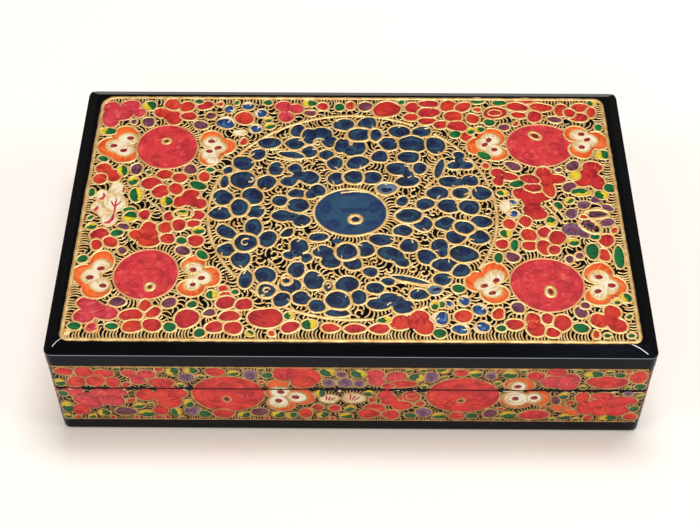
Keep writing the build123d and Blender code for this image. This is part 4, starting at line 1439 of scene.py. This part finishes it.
# garland round the four walls, on a sheet as high as from the black hem to the cap;
# a motif that crosses the cut between lid and base is painted on both
garland = {
    "foot": 3.8, "top": 36.9, "stretch": 0.991, "topLine": 0.7, "hemLine": 0.6,
    "rosettes": [((-42.2, 20.3, 12.4, 10.2), (-42.8, 17.3, 1.8, 2.2, 0.9)),
                 ((38.6, 20.3, 12.2, 10.2), (38.1, 17.0, 1.8, 1.7, 0.8))],
    "pansies": [
        ([(-25, 26.5, 3.4, 2.4), (-24.6, 21, 4.4, 4), (-17.6, 19, 5.0, 4.6), (-24, 14.6, 4.8, 4)],
         [(-24.2, 21.8, 3.2, 2.7), (-18.4, 18.8, 2.9, 2.8), (-24.9, 15.9, 3.2, 3.2)],
         [(-24, 22, 1.6, 1.5), (-19, 18.8, 1.6, 1.5), (-24.9, 16.6, 1.6, 1.5)]),
        ([(57.5, 27, 5.2, 3.4), (57.3, 17.8, 5.2, 5), (64, 19.2, 4.8, 4.4)],
         [(57, 26.1, 2.8, 2.4), (57, 18.6, 4.2, 4), (63, 19, 2.6, 2.8)],
         [(57, 25.9, 1.5, 1.3), (56.8, 18.6, 1.5, 1.4), (63.2, 19.2, 1.5, 1.4)])],
    "flowers": [
        [(-90, 33.2, 2.8, 2.8), (-83.6, 32.4, 3.2, 2.2)],
        [(-75, 32.4, 2.2, 2), (-69, 32.2, 2.8, 2.2), (-72.4, 28.6, 2.2, 2.6)],
        [(-22.5, 33, 3.8, 4.2), (-17, 33, 4.6, 4.4), (-13.4, 31, 3.2, 4), (-16, 28, 4.2, 3.2)],
        [(8.2, 32.5, 3, 2.9), (15.4, 31.5, 3.4, 2.7), (8.8, 28.3, 2.6, 2.4)],
        [(-95.5, 21.6, 3.4, 2.6), (-91.3, 17.3, 4.4, 3.2), (-86.2, 19.4, 3.6, 3.4), (-80.4, 21.3, 3.4, 2.4),
         (-82.6, 16.2, 4.2, 3), (-90, 14, 3.4, 2.4)],
        [(-70.6, 19.6, 3.4, 3.2), (-64.3, 18.6, 3.2, 4), (-59.5, 20.6, 3.2, 2.8), (-62.6, 15.3, 4, 3.4)],
        [(12, 20, 3, 2.4), (20.9, 19.4, 3, 2.8), (13.6, 16.8, 3, 2.4), (17.9, 14, 3.2, 2.6)],
        [(79.8, 19.3, 2.4, 3), (81.7, 13, 3.2, 3.6), (86.2, 15.8, 3.4, 3), (86.6, 20.6, 4, 1.6),
         (92.2, 16.6, 3.8, 3.4), (96, 17.6, 2.6, 1.8), (92.5, 11.6, 3.8, 3), (87, 11.5, 3.4, 2.6)],
        [(68.5, 28.8, 3.6, 3.4), (74.4, 29.3, 3.2, 3.8), (73.6, 26.3, 3, 2)]],
    "petals": [
        (-96.8, 33.6, 2.8, 2), (-93, 27.6, 3.2, 2.4), (-86.6, 28, 3.1, 3), (-80.9, 27.3, 2.2, 2.3),
        (-64.3, 27, 4, 2.6), (-45.8, 33.6, 3.4, 2.2), (18, 27, 4.6, 1.9), (12.8, 25.8, 1.9, 1.2),
        (37.2, 33.8, 2.2, 2.0), (62.4, 32.2, 2.6, 2.4), (69.5, 34.6, 2.8, 2.2), (87, 28.7, 6.8, 3.4),
        (97.3, 31.8, 2.9, 3.3), (-94.2, 10.2, 2.8, 2.6), (-66.3, 10.3, 2.4, 2.6), (-44.4, 8.2, 3.8, 2.4),
        (-15.6, 8.8, 2.2, 2.8), (8.2, 12.2, 3.2, 2.6), (6.3, 8.8, 3.6, 2.6), (14.2, 8, 2.6, 2.6),
        (37.2, 7.6, 2.6, 2), (64.2, 8.5, 5.2, 2.7), (98, 7.6, 2.4, 1.8), (-5.5, 12, 1.8, 2)],
    "creams": [(-7.4, 17.8, 3.3, 2.4), (1, 18.2, 3.6, 3)],
    "ambers": [(73.4, 12.4, 4.2, 1.7, -25), (76.4, 10.4, 3, 1.3, -20)],
    "berries": [(-78.6, 9.2, 3.4, 2.4), (-31.8, 9.4, 2.8, 2.4), (48.8, 9.2, 2.3, 2.6),
                (70.8, 17.6, 1.5, 2.4, 20)],
    "violets": [
        (-55.7, 30.2, 2.4, 2.4), (-33.8, 31.9, 2.3, 2.8), (-3.2, 32.6, 1.7, 1.7), (-7.4, 27.4, 1.8, 2.2),
        (-1.8, 27.6, 2.6, 2.4), (2.8, 27, 1.6, 2), (27.3, 31.1, 2.1, 3), (47.4, 32.2, 1.8, 1.9),
        (-55.2, 9.8, 2.8, 2.6), (25.4, 9.6, 2.5, 2.8), (95.2, 22, 1.3, 1.3)],
    "leaves": [
        (-99, 26.8, 1.6, 1.8, 0, 90), (-60, 33.8, 1.9, 2, 0, 180), (-53.7, 34.3, 2, 1.6, 0, 180),
        (-39.6, 32.8, 1.7, 1.4, 0, 90), (-28.2, 31.7, 1.5, 1.5), (-7.8, 33.8, 2.5, 2.1, 0, 20),
        (2.6, 33, 2.4, 2.1, 0, 20), (22.4, 31, 2.3, 2.1, 0, 330), (31, 35, 1.7, 1.2, 0, 300),
        (42.2, 33.2, 1.8, 1.7, 0, 90), (53.8, 33, 2.3, 2, 0, 80), (82, 33.4, 2.8, 1.7, 0, 180),
        (90.8, 32.8, 1.6, 1.1), (98.6, 26.2, 1.7, 1.5), (-99, 20.2, 1.5, 1.4), (-98.8, 12, 1.9, 3, 0, 90),
        (-86.3, 8.4, 1.9, 1.7, 0, 180), (-71.4, 8, 2.4, 2, 0, 90), (-61, 9.2, 1.4, 2.2, 0, 0),
        (-56.2, 14.4, 1.4, 2.2, 0, 120), (-51, 7.8, 1.9, 1.9), (-37.2, 7.6, 2, 1.5, 0, 130),
        (-25.2, 7.8, 2.2, 1.7, 0, 130), (-20.7, 7.4, 1.7, 1.6, 0, 170), (-9.6, 7.8, 1.9, 1.6, 0, 160),
        (-1.5, 7.2, 2, 1.6, 0, 100), (-10.4, 21.2, 1.6, 1.8, 0, 170), (6.3, 21.3, 1.6, 1.6, 0, 60),
        (20.9, 7.6, 1.8, 1.4), (31, 7.4, 2.2, 1.7, 0, 90), (42.5, 7.5, 1.9, 1.4),
        (55.2, 8.2, 2.6, 2.2, 0, 90), (75, 7.5, 1.8, 1.6, 0, 90), (73.3, 20.4, 1.4, 1.8, 0, 90),
        (90.2, 7, 2.5, 1.3, 0, 180), (98.6, 12.5, 1.4, 1.6)],
    # small bare places along the cut where the paint has come off to the pale ground
    "chips": [
        (-96, 22.9, 0.8, 0.3), (-57, 23, 0.7, 0.4), (-77.6, 22.9, 0.5, 0.4), (-3.8, 22.6, 0.7, 0.6),
        (16.2, 23, 0.5, 0.3), (22, 23.1, 0.6, 0.3), (54.6, 22.9, 2.4, 0.4), (76.2, 22.9, 0.5, 0.4),
        (90.4, 22.8, 1.6, 0.4), (98.5, 22.6, 1.6, 0.4)],
    "rings": [(-86.6, 28, 3.5, 3.3, 2.6), (20.9, 19.4, 2.2, 1.9, 1.3)],
}
# side: outward face, across, shift of the garland along the wall, mirrored or not
sides = {
    "front": ((0, -1), (1, 0, 0), 0, False),
    "right": ((1, 0), (0, 1, 0), 21, False),
    "back": ((0, 1), (-1, 0, 0), -4, True),
    "left": ((-1, 0), (0, -1, 0), -16, True),
}


def moved(motifs, shift, mirrored, reach=math.inf):
    out = []
    for m in motifs:
        x = (-m[0] if mirrored else m[0]) + shift
        turn = m[4:] if not mirrored else tuple(
            -t if i == 0 else 180 - t for i, t in enumerate(m[4:]))
        if abs(x) - m[2] < reach:
            out.append((x, *m[1:4], *turn))
    return out


def budOnWall(panel, x, y, reach):
    size = reach - 0.6
    turn = 180 * chance(x, y)
    if chance(x, y, 2) > 0.5:
        paintFlower(panel, "flowers", "scarlet", [(x, y, size, size * 0.8, turn)])
    else:
        paintLeaf(panel, x, y, size, size * 0.75, turn, 90)


def hingePlaces():
    # bare places on the back walls, seen from outside: centre, half length, half height
    places = []
    for hand in ("left", "right"):
        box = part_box("%s_hinge_pin" % hand)
        middle = (box[0] + box[1]) / 2 / mm
        places.append((-middle.x, middle.z, face["hingeReach"], face["hingeDrop"]))
    return places


def wallPanel(side, half):
    (outX, outY), across = sides[side][:2]
    flat = (halfLength if outX == 0 else halfWidth) - face["cornerRadius"]
    reach = flat + face["cornerRadius"] * math.pi / 4 - 0.05   # to the middle of each rounded corner
    low, high = (wallFoot + face["edgeGap"], rim["base"] - face["rimGap"]) if half == "base" else (
        rim["lid"] + face["rimGap"], wallTop - face["edgeGap"])
    origin = (outX * halfLength * mm, outY * halfWidth * mm, 0)
    rise = (wallTop - wallFoot) / (garland["top"] - garland["foot"])
    fit = (garland["stretch"], 0, rise, wallFoot - garland["foot"] * rise)
    hinges = hingePlaces() if side == "back" else []
    panel = makePanel("%s_%s" % (half, side), half, origin, across, (0, 0, 1), (-reach, reach, low, high),
                      fit, flat, hinges)
    # the walls take the darker gold, a painted shade
    panel.update(merged=True, line=motif["wallOutline"], gold=shadedWallGold)
    return panel


def hemLine(panel, half):
    # one gold line along the edge of the wall that meets the cap or the foot
    reach, low, high = panel["window"][1:]
    onLid = half == "lid"
    width = garland["topLine"] if onLid else garland["hemLine"]
    level = high - width / 2 - 0.15 if onLid else low + width / 2 + 0.15
    sway = -0.08 if onLid else 0.08
    run = [(x, level + sway * chance(x, level)) for x in np.arange(-reach + 0.5, reach - 0.4, 1.5)]
    goldLine(panel, "gold_outlines", run, width, comb="out" if onLid else "in")


def paintWall(side, half):
    shift, mirrored = sides[side][2:]
    panel = wallPanel(side, half)
    reach = panel["window"][1]
    there = {key: moved(garland[key], shift, mirrored, reach) for key in (
        "petals", "creams", "ambers", "berries", "violets", "leaves", "chips")}
    reds = moved(allLobes(garland["petals"], garland["flowers"]), shift, mirrored, reach)
    bridgeGaps(panel, "flowers", "vermilion", reds)
    panel["petals"] = reds
    for motifs in garland["rosettes"]:
        body, place = moved([m[:4] for m in motifs], shift, mirrored)
        paintRosette(panel, *body, (*place, motifs[1][4]), "vermilion")
    for parts in garland["pansies"]:
        paintPansy(panel, *(moved(part, shift, mirrored) for part in parts))
    for lobes in garland["flowers"]:
        paint = "vermilion" if chance(*lobes[0][:2]) > 0.3 else "coral"
        paintFlower(panel, "flowers", paint, moved(lobes, shift, mirrored))
    for petal in there["petals"]:
        paintFlower(panel, "flowers", "vermilion", [petal])
        paintFan(panel, "flowers", "red", *petal[:4], 360 * chance(*petal[:2]))
    paintPetals(panel, "flowers", "cream", there["creams"], veins=("red", 70, 0.34))
    paintPetals(panel, "flowers", "orange", there["ambers"], motif["small"], shade=0.9)
    paintAll(panel, paintBerry, there["berries"])
    paintPetals(panel, "flowers", "violet", there["violets"], veins=("plum", 230, 0.34))
    paintAll(panel, paintLeaf, there["leaves"])
    for ring in garland["rings"]:
        place, = moved([ring[:4]], shift, mirrored)
        goldRing(panel, *place, ring[4])
    if half == "base":
        for chip in there["chips"]:
            layPaint(panel, "flowers", "cream", oval(*chip[:4], wobble=0.2, points=10), 0, 0.2)
    fillBare(panel, budOnWall, 30)
    hemLine(panel, half)
    growCombs(panel)
    return panel


raised = {"crown": 0.36, "profilePoints": 6, "sharpEdge": 55}


def raisedLineTree():
    # every path becomes a low half-round bead of paint, as wide as its own attribute says
    tree = bpy.data.node_groups.new("raised_line", "GeometryNodeTree")
    tree.interface.new_socket("Paths", in_out="INPUT", socket_type="NodeSocketGeometry")
    for name, kind, value in (("Crown", "NodeSocketFloat", raised["crown"]),
                              ("Profile Points", "NodeSocketInt", raised["profilePoints"]),
                              ("Sharp Edge", "NodeSocketFloat", math.radians(raised["sharpEdge"])),
                              ("Sink", "NodeSocketFloat", face["sink"] * mm)):
        tree.interface.new_socket(name, in_out="INPUT", socket_type=kind).default_value = value
    tree.interface.new_socket("Paint", in_out="INPUT", socket_type="NodeSocketMaterial")
    tree.interface.new_socket("Lines", in_out="OUTPUT", socket_type="NodeSocketGeometry")

    def node(kind, props=None, **inputs):
        # inputs are written with an underscore for each space
        named = {name.replace("_", " "): value for name, value in inputs.items()}
        return addNode(tree, "GeometryNode" + kind, props, named).outputs[0]

    given = addNode(tree, "NodeGroupInput").outputs
    curve = node("MeshToCurve", Mesh=given["Paths"])
    level = node("SetCurveNormal", {"mode": "Z_UP"}, Curve=curve)
    arc = node("CurveArc", {"mode": "RADIUS"}, Resolution=given["Profile Points"], Radius=1.0,
               Start_Angle=math.pi, Sweep_Angle=math.pi, Connect_Center=True)
    flatter = addNode(tree, "ShaderNodeCombineXYZ", inputs={0: 1.0, 1: given["Crown"], 2: 1.0}).outputs[0]
    profile = node("Transform", Geometry=arc, Scale=flatter)
    width = node("InputNamedAttribute", {"data_type": "FLOAT"}, Name="halfWidth")
    bead = node("CurveToMesh", Curve=level, Profile_Curve=profile, Scale=width, Fill_Caps=True)
    down = calc(tree, "MULTIPLY", given["Sink"], -1.0)
    drop = addNode(tree, "ShaderNodeCombineXYZ", inputs={0: 0.0, 1: 0.0, 2: down}).outputs[0]
    seated = node("SetPosition", Geometry=bead, Offset=drop)
    smooth = node("SetShadeSmooth", {"domain": "FACE"}, Geometry=seated, Shade_Smooth=True)
    angle = node("InputMeshEdgeAngle")
    sharp = addNode(tree, "FunctionNodeCompare", {"data_type": "FLOAT", "operation": "GREATER_THAN"}, {
        0: angle, 1: given["Sharp Edge"]}).outputs[0]
    creased = node("SetShadeSmooth", {"domain": "EDGE"}, Geometry=smooth, Selection=sharp, Shade_Smooth=False)
    real = node("RealizeInstances", Geometry=creased)
    painted = node("SetMaterial", Geometry=real, Material=given["Paint"])
    addNode(tree, "NodeGroupOutput", inputs={0: painted})
    return tree


lineTree = raisedLineTree()
paintSocket = next(socket.identifier for socket in lineTree.interface.items_tree if socket.name == "Paint")


def ontoFace(panel, points):
    # from the flat layout, in mm, to the box; paint near an upright corner bends round it
    points = np.array(points, float)
    stretchX, shiftX, stretchY, shiftY = panel["fit"]
    u, v, h = points[:, 0] * stretchX + shiftX, points[:, 1] * stretchY + shiftY, points[:, 2].copy()
    if panel["flat"]:
        r = face["cornerRadius"]
        past = np.maximum(abs(u) - panel["flat"], 0)
        angle = past / r
        bent = past > 0
        u[bent] = np.sign(u[bent]) * (panel["flat"] + (r + h[bent]) * np.sin(angle[bent]))
        h[bent] = (r + h[bent]) * np.cos(angle[bent]) - r
    turned = np.column_stack((u, v, h)) * mm @ np.array(panel["turn"]).T
    return turned + np.array(panel["origin"])


def paintPiece(panel, group, store):
    mesh = bpy.data.meshes.new(panel["name"] + "_" + group)
    mesh.from_pydata(ontoFace(panel, store["points"]).tolist(), [], store["faces"])
    used = sorted(set(store["paint"]))
    for index in used:
        mesh.materials.append(paintMaterials[index])
    mesh.polygons.foreach_set("material_index", [used.index(i) for i in store["paint"]])
    for name in ("brush", "tone"):
        attribute = mesh.attributes.new(name, "FLOAT_VECTOR", "POINT")
        attribute.data.foreach_set("vector", np.array(store[name], np.float32).ravel())
    mesh.update()
    return putInScene(mesh.name, mesh)


def goldPiece(panel, group, store):
    points, edges, widths = [], [], []
    for line in store["lines"]:
        run = line["points"]
        start = len(points)
        points += [(x * mm, y * mm, line["lift"] * mm) for x, y in run]
        widths += [w * mm for w in line["halfWidths"]]
        edges += [(start + i, start + i + 1) for i in range(len(run) - 1)]
        if line["closed"]:
            edges.append((start + len(run) - 1, start))
    paths = bpy.data.meshes.new("paths")
    paths.from_pydata(points, edges, [])
    paths.attributes.new("halfWidth", "FLOAT", "POINT").data.foreach_set("value", widths)
    drawn = putInScene("paths", paths)
    modifier = drawn.modifiers.new("raised_line", "NODES")
    modifier.node_group = lineTree
    modifier[paintSocket] = lineGolds.get(group, panel["gold"])
    mesh = bpy.data.meshes.new_from_object(drawn.evaluated_get(bpy.context.evaluated_depsgraph_get()))
    bpy.data.objects.remove(drawn)
    mesh.name = panel["name"] + "_" + group
    flat = np.zeros(len(mesh.vertices) * 3, np.float32)
    mesh.vertices.foreach_get("co", flat)
    placed = ontoFace(panel, flat.reshape(-1, 3) / mm)
    mesh.vertices.foreach_set("co", placed.astype(np.float32).ravel())
    mesh.update()
    return putInScene(mesh.name, mesh)


def hangPanel(panel):
    triangles = 0
    for group, store in panel["groups"].items():
        isGold = bool(store["lines"])
        piece = goldPiece(panel, group, store) if isGold else paintPiece(panel, group, store)
        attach(piece, panel["body"])
        count = sum(len(p.vertices) - 2 for p in piece.data.polygons)
        triangles += count
        print("  %s: %d triangles" % (piece.name, count))
    return triangles


total = hangPanel(paintTop())
for side in sides:
    for half in ("lid", "base"):
        total += hangPanel(paintWall(side, half))
print("painted faces done: %d triangles" % total)
